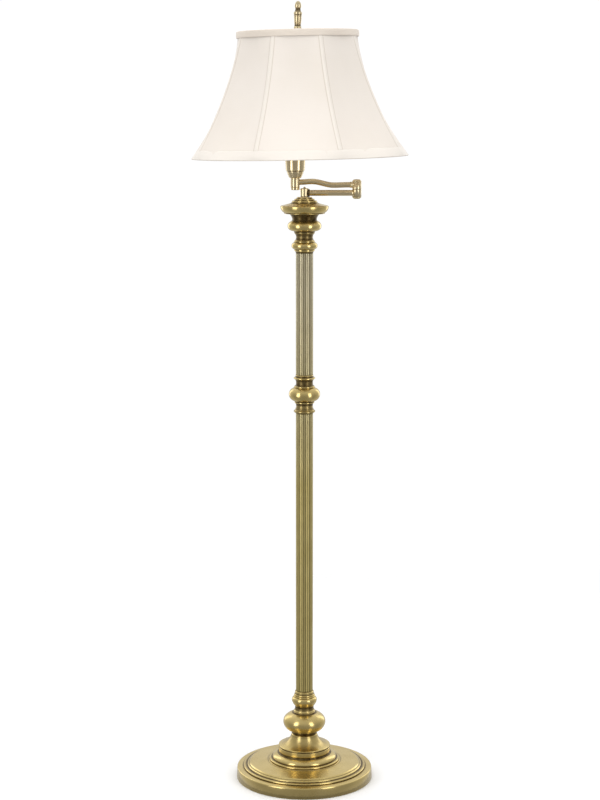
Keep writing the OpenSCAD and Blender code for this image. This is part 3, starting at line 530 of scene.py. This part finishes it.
def swept(name, path, radius, sides=20, closed=False, matrix=Matrix(), relief=0.0):
    """A round rod along a path of points in millimetres."""
    path = np.asarray(path, float)
    n = len(path)
    ahead = np.roll(path, -1, axis=0) if closed else np.vstack([path[1:], 2 * path[-1] - path[-2]])
    behind = np.roll(path, 1, axis=0) if closed else np.vstack([2 * path[0] - path[1], path[:-1]])
    along = ahead - behind
    along /= np.linalg.norm(along, axis=1)[:, None]
    side = np.cross(along[0], [0, 1, 0] if abs(along[0][1]) < 0.8 else [0, 0, 1])
    rings = []
    angles = np.linspace(0, 2 * math.pi, sides, endpoint=False)
    for i in range(n):
        side = side - along[i] * (side @ along[i])
        side /= np.linalg.norm(side)
        other = np.cross(along[i], side)
        rings.append([path[i] + radius * (math.cos(a) * side + math.sin(a) * other) for a in angles])
    if closed:
        rings.append(rings[0])
    else:
        rings = [[path[0]] * sides] + rings + [[path[-1]] * sides]
    rings = placed(rings, matrix)
    run = np.concatenate([[0], np.cumsum(np.linalg.norm(np.diff(rings[:, 0], axis=0), axis=1))])
    return grid(name, rings, True, {"relief": relief, "turn": run[:, None]})


# ---------------------------------------------------------------- base, column and fittings


def base_outline():
    return [
        (137.5, 1), (136.4, 20.4), *round_edge(136.3, 22.6, 2), (127.4, 23.1),
        *bead(121.6, 23.3, 3.4), (117, 27),
        *curve((115.8, 27.2), (115.6, 28.6), (114.6, 29.8), (112, 30.4), 5),
        (111.4, 31.2), (109.6, 32.6),
        *curve((108.6, 33.1), (98, 33.9), (84, 34.8), (73.4, 36.2), 6),
        (72.6, 36.8), *bead(68.6, 36.9, 3.6), (65.8, 40.8),
        *curve((64.2, 41.2), (65.6, 44.4), (62.6, 49), (53.4, 51.2)),
        (52.2, 51.8), (51.8, 53.8),
    ]


def pedestal_outline():
    return [
        (52.2, 0), (52.5, 3), (52.5, 9.8), (51.4, 10.6), (51.4, 11.8), (52.1, 12.4), (52.1, 13.6),
        *curve((50.6, 14.4), (40, 17), (31, 21.6), (26.2, 34.6), 12), (25.8, 37.2),
    ]


def vase_outline():
    return [
        (25.2, 0), (25.2, 5.4),
        *curve((25.2, 5.8), (33, 6.8), (42.8, 14.4), (42.8, 25.4), 12),
        *curve((42.8, 25.4), (42.8, 33), (36.6, 40.4), (24.6, 43.6), 12), (22.4, 44.6), (21.8, 46.7),
    ]


def collar_outline():
    return [
        (21.6, 0), (21.4, 1.4), *curve((21.2, 1.8), (19.4, 3.6), (18.7, 5.6), (18.7, 9.4), 6),
        *curve((18.7, 10.4), (20.2, 13), (25.3, 18.2), (25.3, 24)),
        *curve((25.3, 24), (25.3, 26.8), (24, 29), (21.8, 30), 6),
        *bead(20.2, 30.2, 3.2), *bead(19.2, 33.5, 3.1),
        (18.8, 36.9), (19, 37.4), (19, 41.6), (17.6, 42.6), (17.4, 43.3),
    ]


def coupling_base_outline():
    return [
        (17.8, 0), (17.9, 1.6), (20.8, 2), (21.2, 2.6), (21.2, 4.6),
        *curve((20.6, 5.2), (18.2, 6.6), (16.7, 10), (16.7, 14)),
        *curve((16.7, 14.4), (16.7, 18.6), (17.6, 19.6), (19.4, 20.2), 5),
        (19.7, 20.7), (19.7, 22), (19, 22.5), (19, 23),
    ]


def coupling_ball_outline():
    return [
        (19.6, 0), *curve((20.2, 1), (25.8, 2.4), (30.9, 7.8), (30.9, 14.2), 10),
        *curve((30.9, 14.2), (30.9, 20.8), (27, 25.6), (20.6, 27.5), 10), (20.2, 28),
    ]


def coupling_top_outline():
    return [
        *bead(19.2, 0, 3), *curve((19, 3.2), (17.5, 4), (16.9, 5.4), (16.8, 7.2), 5),
        *curve((16.8, 12), (17, 14.6), (18.6, 16.4), (20.9, 17.6), 6),
        (21.2, 18.1), (21.2, 19.4), (20.2, 20.2), (17.9, 20.9), (17.5, 25),
    ]


def neck_bulb_outline():
    return [
        (17.2, 0), (17.5, 1.4), (19.2, 3.1), (20.1, 3.8), (20.1, 5.6), (19.6, 6.2),
        *curve((20, 6.6), (23.2, 7.4), (25.6, 10.4), (25.6, 13.2)),
        *curve((25.6, 13.2), (25.6, 16.4), (23.8, 18.8), (20.8, 20.2)),
        (20, 20.6), (20.6, 21.2), (20.6, 22.4), (19.6, 23),
    ]


def neck_vase_outline():
    return [
        (19.4, 0), (19.4, 0.6), *curve((19.2, 0.8), (17.3, 2.2), (16.5, 4.2), (16.5, 7.2), 6),
        *curve((16.5, 7.4), (16.5, 10.6), (17.4, 13), (20, 14.8), 6), (20.4, 17.8), (21, 18.8),
        *curve((21.8, 19), (29, 19.6), (33.1, 23.4), (33.1, 28.8), 10),
        *curve((33.1, 28.8), (33.1, 33.4), (30, 37), (25, 39.2), 10), (24.1, 39.7), (24, 41.4),
    ]


def saucer_outline():
    return [
        (23.9, 0), (23.9, 1.4), *curve((24, 1.8), (25, 5.4), (26.6, 8.6), (29.6, 10.9), 6),
        (38.6, 11.4), (39.8, 11.8), (39.9, 13.2),
        *curve((40.2, 13.6), (43.8, 15), (47, 20.2), (47.2, 24.6)), (47, 26), (46, 26.8),
        *curve((45.2, 27.2), (39, 28.5), (33, 30.2), (27, 32), 6), (26.2, 32.6),
    ]


def step_cap_outline():
    return [
        (25.4, 0), (25.4, 1), (24.6, 1.4), *round_edge(24.4, 4.3, 1.4), (20.2, 4.5),
        *round_edge(20, 7.7, 1.4), (15.8, 7.9), *round_edge(15.4, 11, 1.4), (8.6, 11),
    ]


def column_outline(length):
    return [(COLUMN_R, 0), (COLUMN_R, length)]


def add_stand():
    # The necks listed at the end of this call are darkened, partly patina and partly painted shade.
    stack([
        ("base_shell", base_outline(), 0, 7),
        ("base_pedestal", pedestal_outline(), 53.8, 6),
        ("lower_vase", vase_outline(), 91, 6),
        ("lower_collar", collar_outline(), 137.7, 6),
        ("*lower_column", column_outline(LOWER_COLUMN[1]), LOWER_COLUMN[0], 6),
        ("coupling_base", coupling_base_outline(), 750, 6),
        ("coupling_ball", coupling_ball_outline(), 773, 6),
        ("coupling_top", coupling_top_outline(), 801, 6),
        ("*upper_column", column_outline(UPPER_COLUMN[1]), UPPER_COLUMN[0], 6),
        ("neck_bulb", neck_bulb_outline(), 1067, 6),
        ("neck_vase", neck_vase_outline(), 1090, 6),
        ("saucer", saucer_outline(), 1131.4, 6),
        ("step_cap", step_cap_outline(), 1164, 5),
    ], sides=160, patina_and_shade_necks=[(1130, 1142.5, 0.8), (1092, 1106, 0.4), (803, 817, 0.35), (752, 770, 0.25)])
    add_reeded_column("lower_column", *LOWER_COLUMN)
    add_reeded_column("upper_column", *UPPER_COLUMN)


def add_reeded_column(node, z, length):
    """Column tube with shallow round grooves between slightly crowned reeds."""
    groove_r, groove_out, crown = 0.9, 0.3, 0.3
    pitch = 2 * math.pi * COLUMN_R / REEDS
    half = np.array([0, 0.22, 0.45, 0.66, 0.82, 0.95, 1.2, 1.6])
    across = np.concatenate([half, [pitch / 2], pitch - half[:0:-1]])
    from_groove = np.minimum(across, pitch - across)
    wall = COLUMN_R - crown * ((pitch / 2 - from_groove) / (pitch / 2)) ** 2
    groove = COLUMN_R + groove_out - np.sqrt(np.maximum(groove_r**2 - from_groove**2, 0))
    radius = np.where(from_groove < 0.85, np.minimum(wall, groove), wall)
    shade = np.clip(1.15 - from_groove / 0.75, 0, 1) - 0.25 * (from_groove > 1.5)
    radius, shade = np.tile(radius, REEDS), np.tile(shade, REEDS)
    starts = np.repeat((np.arange(REEDS) + 0.5) * pitch, len(across))
    angles = (starts + np.tile(across, REEDS)) / COLUMN_R
    levels = z + np.concatenate([[0, 0.4], np.linspace(2, length - 2, 24), [length - 0.4, length]])
    rows = [
        np.stack([radius * np.cos(angles), radius * np.sin(angles), np.full(len(angles), h)], axis=-1)
        for h in levels
    ]
    ends = np.zeros(len(levels))
    ends[[0, -1]] = 0.9
    ends[[1, -2]] = 0.5
    relief = np.maximum(shade[None, :], ends[:, None])
    marks = {"relief": relief, "turn": (levels * MM)[:, None]}
    stand_for(grid(node + "_reeded", placed(rows, Matrix()), True, marks), node)


# ---------------------------------------------------------------- arms


def ease(x, a, b):
    """Smooth step from 0 at a to 1 at b."""
    return (1 - math.cos(math.pi * min(1, max(0, (x - a) / (b - a))))) / 2


def arm_level(x):
    """Height of the upper link: up from the hub, down, and a little up again to the elbow."""
    rise, fall, end = 0.14 * ELBOW_X, 0.56 * ELBOW_X, 0.84 * ELBOW_X
    wave = 1.2 * ease(x, -7, rise) - 7.0 * ease(x, rise, fall) + 0.7 * ease(x, fall, end)
    return HUB_LINK_Z + wave


def elbow_cap_outline(up):
    """Chamfered cap of the elbow; up is the upper one, with its chamfer on top."""
    height = 4
    points = [(5.4, 0), (6.2, 0.4), (8.6, 2.8), (ELBOW_R, 3.5), (ELBOW_R, height)]
    return [(r, height - z) for r, z in points[::-1]] if up else points


def add_arms():
    stack([
        ("post_knuckle", [(7.2, 0), (8, 0.8), *round_edge(8, 16.1, 1.6), (2.4, 16.1)], 0, 0),
        ("post_screw", curve((2.4, 0), (2.4, 1.6), (1.6, 2.9), (0.01, 3), 6), 16.1, 0),
    ], moved(z=PIVOT_Z + 0.9), 96)
    along_arm = moved(z=LOWER_LINK_Z) @ Matrix.Rotation(math.radians(90), 4, "Y")
    boss = softened([(5.8, 5), (7.5, 5), (7.5, 9.5), (6.9, 10.1), (5.8, 10.1)], 0.3)
    # The whole boss is darkened through its relief.
    darkened_all_over = np.full(len(boss), 0.75)
    turned("post_knuckle", boss, along_arm, darkened_all_over, 5.8, 96, False).name = "post_knuckle_boss"
    tube = [(x, 0, LOWER_LINK_Z) for x in np.linspace(5, ELBOW_X - 6, 24)]
    stand_for(swept("lower_arm_tube_drawn", tube, 5.75, 40), "lower_arm_tube")
    stack([
        ("elbow_lower_cap", elbow_cap_outline(False), -3.4, 0),
        ("elbow_lower", [(ELBOW_R, 0), (ELBOW_R, 13.8), (8.7, 14.2)], 0.6, 0),
        ("elbow_upper", [(8.7, 0), (ELBOW_R, 0.4), (ELBOW_R, 15)], 15.2, 0),
        ("elbow_upper_cap", elbow_cap_outline(True), 30.2, 0),
    ], moved(ELBOW_X, 0, PIVOT_Z), 96)
    path = [(x, 0, arm_level(x)) for x in np.linspace(HEAD_X + 6.3, ELBOW_X - 5, 72)]
    stand_for(swept("upper_arm_tube_drawn", path, 5.4, 40), "upper_arm_tube")
    lying = moved(ELBOW_X - 5, 0, UPPER_LINK_Z) @ Matrix.Rotation(math.radians(-90), 4, "Y")
    collar = turned("elbow_upper", softened([(5.9, 0), (5.9, 8)]), lying, hole=5.2, sides=64)
    collar.name = "elbow_upper_collar"


# ---------------------------------------------------------------- head


def cup_outline():
    return [
        (16.5, 0), *curve((16.9, 0), (17.9, 0.2), (18.3, 0.8), (18.4, 2), 4),
        (19.3, 18.5), (19.6, 29), *bead(19.1, 29.5, 2, 8),
        (18.3, 31.5), (18.1, 18.5), (17.3, 2), (5, 1.4),
    ]


def finial_outline():
    return [
        (7.2, 0), (7.3, 0.8), (7.2, 5.6), (6.9, 6.6), (6.1, 7.6), (6.1, 9.8), (6.4, 12), (6.9, 15.6),
        (7.2, 22), (7.4, 29.2), (8.1, 30.4), (8.1, 32.8),
        *curve((8, 33), (6.2, 34), (4.9, 37), (4.85, 40.6), 6),
        *curve((4.85, 40.8), (6.2, 41.6), (6.4, 43.6), (6.2, 45.4), 5),
        *curve((6.2, 45.6), (6.1, 50.4), (4.2, 53.6), (0.01, 54.8)),
    ]


def harp_path():
    """The harp's wire, in its own upright plane, from one sleeve over the top to the other."""
    half = [
        *curve((24, 13), (24, 26), (34, 38), (45, 62)),
        *curve((47.5, 70), (54, 92), (54, 128), (45, 168), 10),
        *curve((42, 178), (34, 204), (22, 228), (10, 228.6)),
    ]
    half = [p for i, p in enumerate(half) if i == 0 or np.linalg.norm(p - half[i - 1]) > 0.5]
    loop = half + [np.array((0, 228.6))] + [p * (-1, 1) for p in reversed(half)]
    return [(x, 0, z) for x, z in loop]


def bulb_base_outline():
    thread = [p for i in range(4) for p in ((13, 4.6 + 3.6 * i), (12.1, 6.4 + 3.6 * i))]
    return [(0.01, -2), (3.6, -2), (4.4, 0), (9, 0.8), (12.2, 3.6), *thread, (12.4, 20), (13, 24)]


def bulb_glass_outline():
    bulb_r, centre_z = 30, 52.5
    dome = [
        (bulb_r * math.cos(math.radians(a)), centre_z + bulb_r * math.sin(math.radians(a)))
        for a in range(5, 91, 5)
    ]
    neck = curve((13, 4), (14, 23.6), (bulb_r, 26.3), (bulb_r, centre_z), 12)
    return [(12.8, 0.1), *neck, *dome]


def add_head():
    head = moved(HEAD_X)
    stack([
        ("hub_cap", [(7.5, 0), (8.5, 1), (8.5, 4.2), (7.7, 4.8)], 1188.6, 0),
        ("head_hub", [(8.6, 0), (9.2, 0.6), *round_edge(9.2, 18.6, 0.8)], 1193.4, 0),
        ("socket_cone", [(11, 0), (12.1, 0.8), *curve((12.2, 1), (14, 5), (15.7, 9), (16.5, 12), 5),
                         (16.5, 13.5)], 1212, 5),
        ("socket_cup", cup_outline(), 1225.5, 5),
    ], head, 96)
    stack([
        ("socket_cap", [(9, 0), *curve((10, 0.4), (14, 1.6), (16.6, 4.4), (17, 8), 6), (17, 11)],
         SADDLE_TOP_Z, 5),
        ("socket_shell", [(17, 0), (17, 3), (16.7, 3.6), (16.7, 4.4), (17, 5), (17, 42), (16.2, 42),
                          (16.2, 20)], 1269.7, 16.2),
    ], head, 96)
    stack([
        ("bulb_base", bulb_base_outline(), 1294.3, 0),
        ("bulb_glass", bulb_glass_outline(), 1318.3, 0),
    ], head, 96)
    towards_front = moved(HEAD_X, 0, KNOB_Z) @ Matrix.Rotation(math.radians(90), 4, "X")
    knob = softened([
        (0.01, 5), (1.6, 5), (1.6, 27.5), (3.4, 28), (4.4, 29.4), (3, 32), (6.2, 34.4),
        (6.4, 38.8), (5.4, 40), (0.01, 40),
    ])
    turned("switch_knob", knob, towards_front, sides=144, flutes=(24, 0.35, 5.2))
    stand_for(swept("harp_bent", harp_path(), 1.7, 16, matrix=ON_SADDLE), "harp")
    turned("finial", softened(finial_outline()), ON_SADDLE @ moved(z=235.2), sides=96)
    turned("harp_stud", softened([(0.01, 0), (8, 0), (8, 1.6), (3.15, 1.6), (3.15, 16)]),
           ON_SADDLE @ moved(z=230.4), sides=64)
    for side, name in ((-1, "left"), (1, "right")):
        sleeve = turned("harp_sleeves", softened([(2.4, 0), (4, 0), (4, 12), (2.4, 12)]),
                        ON_SADDLE @ moved(24 * side, 0, 3), sides=48, ends=False)
        sleeve.name = "harp_sleeve_" + name


# ---------------------------------------------------------------- shade


def rib_at(t):
    """Radius and height of the fabric at a rib, from the top at t = 0 to the bottom at t = 1."""
    a, b = (TOP_R, TOP_Z), (TOP_R + 37, TOP_Z - 0.632 * DROP)
    c, d = (BOTTOM_R + 2, BOTTOM_Z + 0.07 * DROP), (BOTTOM_R, BOTTOM_Z)
    t = np.asarray(t, float)
    return tuple(
        (1 - t) ** 3 * a[k] + 3 * (1 - t) ** 2 * t * b[k] + 3 * (1 - t) * t * t * c[k] + t**3 * d[k]
        for k in (0, 1)
    )


def fabric_at(azimuth, t, offset=0.0):
    """Points of the fabric; azimuth 0 is the middle of the front panel."""
    r, z = rib_at(t)
    across = azimuth - 2 * HALF_PANEL * np.round(azimuth / (2 * HALF_PANEL))
    flat = np.maximum(0, np.sin(np.pi * (z - BOTTOM_Z) / (DROP + 3))) ** 0.6
    r = r * (1 - flat + flat * math.cos(HALF_PANEL) / np.cos(across)) + offset
    return np.stack([r * np.sin(azimuth), -r * np.cos(azimuth), z + 0 * r], axis=-1)


def run_down(t):
    """Length of the rib from the top to each t."""
    r, z = rib_at(t)
    return np.concatenate([[0], np.cumsum(np.hypot(np.diff(r), np.diff(z)))])


def add_panels():
    """Eight gores of silk stretched from rib to rib, each with a painted shadow line beside its two
    tapes.
    """
    t = np.linspace(0, 1, 73)
    r = rib_at(t)[0]
    down = run_down(t)
    near = np.array([0, 2.5, 3.9, 4.3, 4.8, 5.6, 7.0])
    made = []
    for i in range(PANELS):
        middle = 2 * HALF_PANEL * i
        left = -HALF_PANEL + near[None, :] / r[:, None]
        centre = np.linspace(-1, 1, 17)[None, :] * (HALF_PANEL - 9.5 / r[:, None])
        across = np.hstack([left, centre, -left[:, ::-1]])
        beside = (HALF_PANEL - np.abs(across)) * r[:, None]
        # Painted shadow line just outside each tape's edge.
        painted_shadow = np.exp(-(((beside - 4.35) / 0.45) ** 2))
        wave = np.zeros_like(across)
        for j in range(across.shape[0]):
            for k in range(across.shape[1]):
                u = across[j, k] / HALF_PANEL
                slack = noise.fractal(Vector((2.2 * u + 7 * i, 2.4 * t[j], 3.1 * i)), 1.0, 2.0, 3)
                gather = math.sin(23 * u + 2 * i) * math.exp(-t[j] / 0.05)
                pull = math.sin(15 * u + 5 * t[j] + i) * math.exp(-(1 - t[j]) / 0.12)
                wave[j, k] = 0.45 * slack + 0.16 * gather + 0.16 * pull
        loose = np.clip((beside - 4) / 14, 0, 1)
        points = fabric_at(across + middle, t[:, None], wave * loose)
        uv = np.stack([across * r[:, None] * MM, np.repeat(down[:, None], across.shape[1], 1) * MM], -1)
        marks = {"painted_shadow": painted_shadow * 0.55}
        panel = grid(f"shade_panel_{i + 1}", placed(points, ON_STUD), False, marks, uv, weld=False)
        solid = panel.modifiers.new("thickness", "SOLIDIFY")
        solid.thickness = 0.6 * MM
        solid.offset = -1
        stand_for(panel, "shade_panels")
        made.append(panel)
    return made


def add_tapes():
    """Narrow folded tapes sewn over the panel seams."""
    t = np.linspace(0.012, 0.797, 61)
    r = rib_at(t)[0][:, None]
    down = run_down(t)
    across = np.array([-4, -4.05, -3.7, -2.6, -1.3, 0, 1.3, 2.6, 3.7, 4.05, 4, 2.6, 0, -2.6, -4])
    outside = [0.35, 0.6, 0.85, 0.95, 0.98]
    lift = np.array([*outside, 0.98, *outside[::-1], 0.3, 0.3, 0.3, 0.35])
    made = []
    for i in range(PANELS):
        sway = np.array([0.25 * noise.noise(Vector((1.7 * i, 5 * s, 0))) for s in t])[:, None]
        wide = 1 + 0.04 * np.array([noise.noise(Vector((9.1, 8 * s, 2.3 * i))) for s in t])[:, None]
        angles = 2 * HALF_PANEL * (i + 0.5) + (across[None, :] * wide + sway) / r
        points = fabric_at(angles, t[:, None], lift[None, :])
        uv = np.stack([np.repeat(across[None, :], len(t), 0) * MM,
                       np.repeat(down[:, None], len(across), 1) * MM], -1)
        # Painted shadow lines along both edges of each tape.
        edge = np.exp(-(((np.abs(across) - 4.0) / 0.25) ** 2)) * 0.3
        marks = {"painted_shadow": edge[None, :], "fresh": 0.85}
        tape = grid(f"shade_tape_{i + 1}", placed(points, ON_STUD), False, marks, uv)
        made.append(stand_for(tape, "shade_tapes"))
    return made


def add_cuff():
    """Band of silk rolled over the top ring, very slightly gathered."""
    r, z = TOP_R, TOP_Z
    outline = softened([
        (r + 1.3, z - 4),
        *curve((r + 2.3, z - 3.9), (r + 2.7, z - 1), (r + 2.7, z + 3), (r + 2.3, z + 6), 6),
        *curve((r + 1.9, z + 8), (r + 0.6, z + 9.3), (r - 2.4, z + 9.4), (r - 3.4, z + 7), 6),
        (r - 2.4, z + 5.2), (r + 0.9, z + 5.2), (r + 1.3, z - 4),
    ], 0.5)
    count = 360
    angles = np.linspace(0, 2 * math.pi, count, endpoint=False)
    run = np.concatenate([[0], np.cumsum(np.linalg.norm(np.diff(outline, axis=0), axis=1))])
    rows = []
    for (radius, height), s in zip(outline, run):
        puff = np.array([
            0.5 * noise.noise(Vector((3 * math.cos(a), 3 * math.sin(a), 0.12 * s)))
            + 0.3 * noise.noise(Vector((26 * math.cos(a), 26 * math.sin(a), 0.1 * s)))
            for a in angles
        ])
        lift = radius - 0.1 + puff
        rows.append(np.stack([lift * np.sin(angles), -lift * np.cos(angles), height + 0 * angles], -1))
    # Painted shadow along the cuff's lower edge, where it meets the panels.
    edge = np.exp(-((np.minimum(run, run[-1] - run) / 0.8) ** 2)) * 0.35
    uv = np.stack(np.broadcast_arrays(angles[None, :] * r * MM, run[:, None] * MM), axis=-1)
    cuff = grid("shade_cuff", placed(rows, ON_STUD), True, {"painted_shadow": edge[:, None]}, uv)
    return stand_for(cuff, "shade_top_trim")


def add_hem():
    """Band round the bottom edge, folded under at a small lip."""
    down = np.linspace(0.8, 1, 11)
    count = 32 * PANELS
    angles = np.linspace(0, 2 * math.pi, count, endpoint=False)
    rows, run = [], [0.0]
    outer = [(t, 0.95 if t > 0.81 else 0.75, 0.0) for t in down]
    lip = [(1, 1.15, -0.8), (1, 1.1, -1.4), (1, 0.9, -1.7), (1, 0.6, -1.5), (1, 0.5, -0.9)]
    inner = [(t, 0.6, 0.0) for t in down[::-1]]
    for t, offset, drop in [*outer, *lip, *inner, outer[0]]:
        soft = np.array([
            0.18 * noise.noise(Vector((9 * math.cos(a), 9 * math.sin(a), 4 * t))) for a in angles
        ])
        points = fabric_at(angles, t, offset + soft)
        points[:, 2] += drop
        rows.append(points)
        if len(rows) > 1:
            run.append(run[-1] + float(np.linalg.norm(rows[-1][0] - rows[-2][0])))
    run = np.array(run)
    uv = np.stack(np.broadcast_arrays(angles[None, :] * BOTTOM_R * MM, run[:, None] * MM), axis=-1)
    # Painted shade: faint lines at the hem's top edges, and darkening on the lip as it folds under.
    painted_shadow = np.zeros(len(rows))
    painted_shadow[0] = painted_shadow[-1] = 0.12
    painted_shadow[len(outer) : len(outer) + 3] = (0.35, 0.6, 0.8)
    marks = {"painted_shadow": painted_shadow[:, None], "fresh": 1.0}
    hem = grid("shade_hem", placed(rows, ON_STUD), True, marks, uv)
    return stand_for(hem, "shade_bottom_trim")


def add_frame():
    """Wire frame of the shade: two rings, eight ribs and the three-armed spider."""
    turn = np.linspace(0, 2 * math.pi, 180, endpoint=False)
    top_ring_r, top_ring_z = TOP_R - RIB_INSET, TOP_Z + 1.8
    rings = (
        ("shade_top_ring", top_ring_r, top_ring_z),
        ("shade_bottom_ring", BOTTOM_R - 5, BOTTOM_Z + 2.2),
    )
    for node, r, z in rings:
        path = [(r * math.sin(a), -r * math.cos(a), z) for a in turn]
        stand_for(swept(node + "_wire", path, RING_WIRE_R, 12, True, ON_STUD), node)
    r, z = rib_at(np.linspace(0.006, 0.93, 40))
    for i in range(PANELS):
        a = 2 * HALF_PANEL * (i + 0.5)
        path = [(p * math.sin(a), -p * math.cos(a), q) for p, q in zip(r - RIB_INSET, z)]
        stand_for(swept(f"shade_rib_{i + 1}", path, 1, 10, matrix=ON_STUD), "shade_ribs")
    plate = softened([(3.2, -0.9), (11, -0.9), (11, 0.9), (3.2, 0.9), (3.2, -0.9)], 0.4)
    turned("shade_spider", plate, ON_STUD, ends=False, sides=64).name = "shade_spider_plate"
    start, end = 9, top_ring_r - RING_WIRE_R - 0.2
    for i in range(SPIDER_ARMS):
        a = math.radians(360 / SPIDER_ARMS * i)
        path = [(q * math.sin(a), q * math.cos(a), top_ring_z * (q - start) / (end - start))
                for q in np.linspace(start, end, 12)]
        arm = swept(f"shade_spider_arm_{i + 1}", path, SPIDER_WIRE_R, 12, matrix=ON_STUD)
        stand_for(arm, "shade_spider")


# ---------------------------------------------------------------- kept CAD nodes and the floor


def finish_cad_nodes():
    """Smooth shading and the slot's material for every CAD node that still shows."""
    for node, obj in frame["nodes"].items():
        if obj.hide_render:
            continue
        obj.data.shade_smooth()
        obj.data.set_sharp_from_angle(angle=math.radians(32))
        obj.data.materials.clear()
        obj.data.materials.append(MATERIALS[SLOTS[node]])


def add_floor():
    """Pale floor that fades out at its rim into the white studio."""
    radius = 2.2
    angles = np.linspace(0, 2 * math.pi, 64)[:-1]
    rim = [(radius * math.cos(a), radius * math.sin(a), 0) for a in angles]
    mesh = bpy.data.meshes.new("floor")
    mesh.from_pydata(rim, [], [range(len(rim))])
    floor = bpy.data.objects.new("floor", mesh)
    bpy.context.scene.collection.objects.link(floor)
    s = Shader("pale floor", Specular_IOR_Level=0.2, Roughness=0.7)
    place = s.place()
    tone = s.remap(s.noise(place, 3, 3), 0.3, 0.7, 0, 1)
    out = s.add("VectorMath", {0: place}, operation="LENGTH").outputs["Value"]
    shown = s.add("MapRange", {"Value": out, 1: 0.7, 2: 2.1, 3: 1.0, 4: 0.0},
                  interpolation_type="SMOOTHSTEP").outputs[0]
    white = s.mix(tone, (0.95, 0.95, 0.95, 1), (0.93, 0.93, 0.93, 1))
    mesh.materials.append(s.connect(Base_Color=white, Alpha=shown))
    floor.visible_glossy = False


bpy.context.scene.view_settings.view_transform = "Standard"
add_camera()
add_lights()
add_world()
add_floor()

MATERIALS = make_materials()
shade_joint = next(j for j in frame["joints"] if j["name"] == "shade_turn")
axis = Vector(shade_joint["axis"]).normalized()
side = Vector((0, 1, 0)).cross(axis)
upright = Matrix((side, (0, 1, 0), axis)).transposed().to_4x4()
spin = Matrix.Rotation(math.radians(SHADE_SPIN), 4, "Z")
ON_STUD = Matrix.Translation(Vector(shade_joint["pos_m"]) / MM) @ upright @ spin
ON_SADDLE = moved(HEAD_X, 0, SADDLE_TOP_Z) @ Matrix.Rotation(math.radians(HARP_LEAN), 4, "Y")

add_stand()
add_arms()
add_head()
add_frame()
add_panels()
add_tapes()
add_cuff()
add_hem()
finish_cad_nodes()
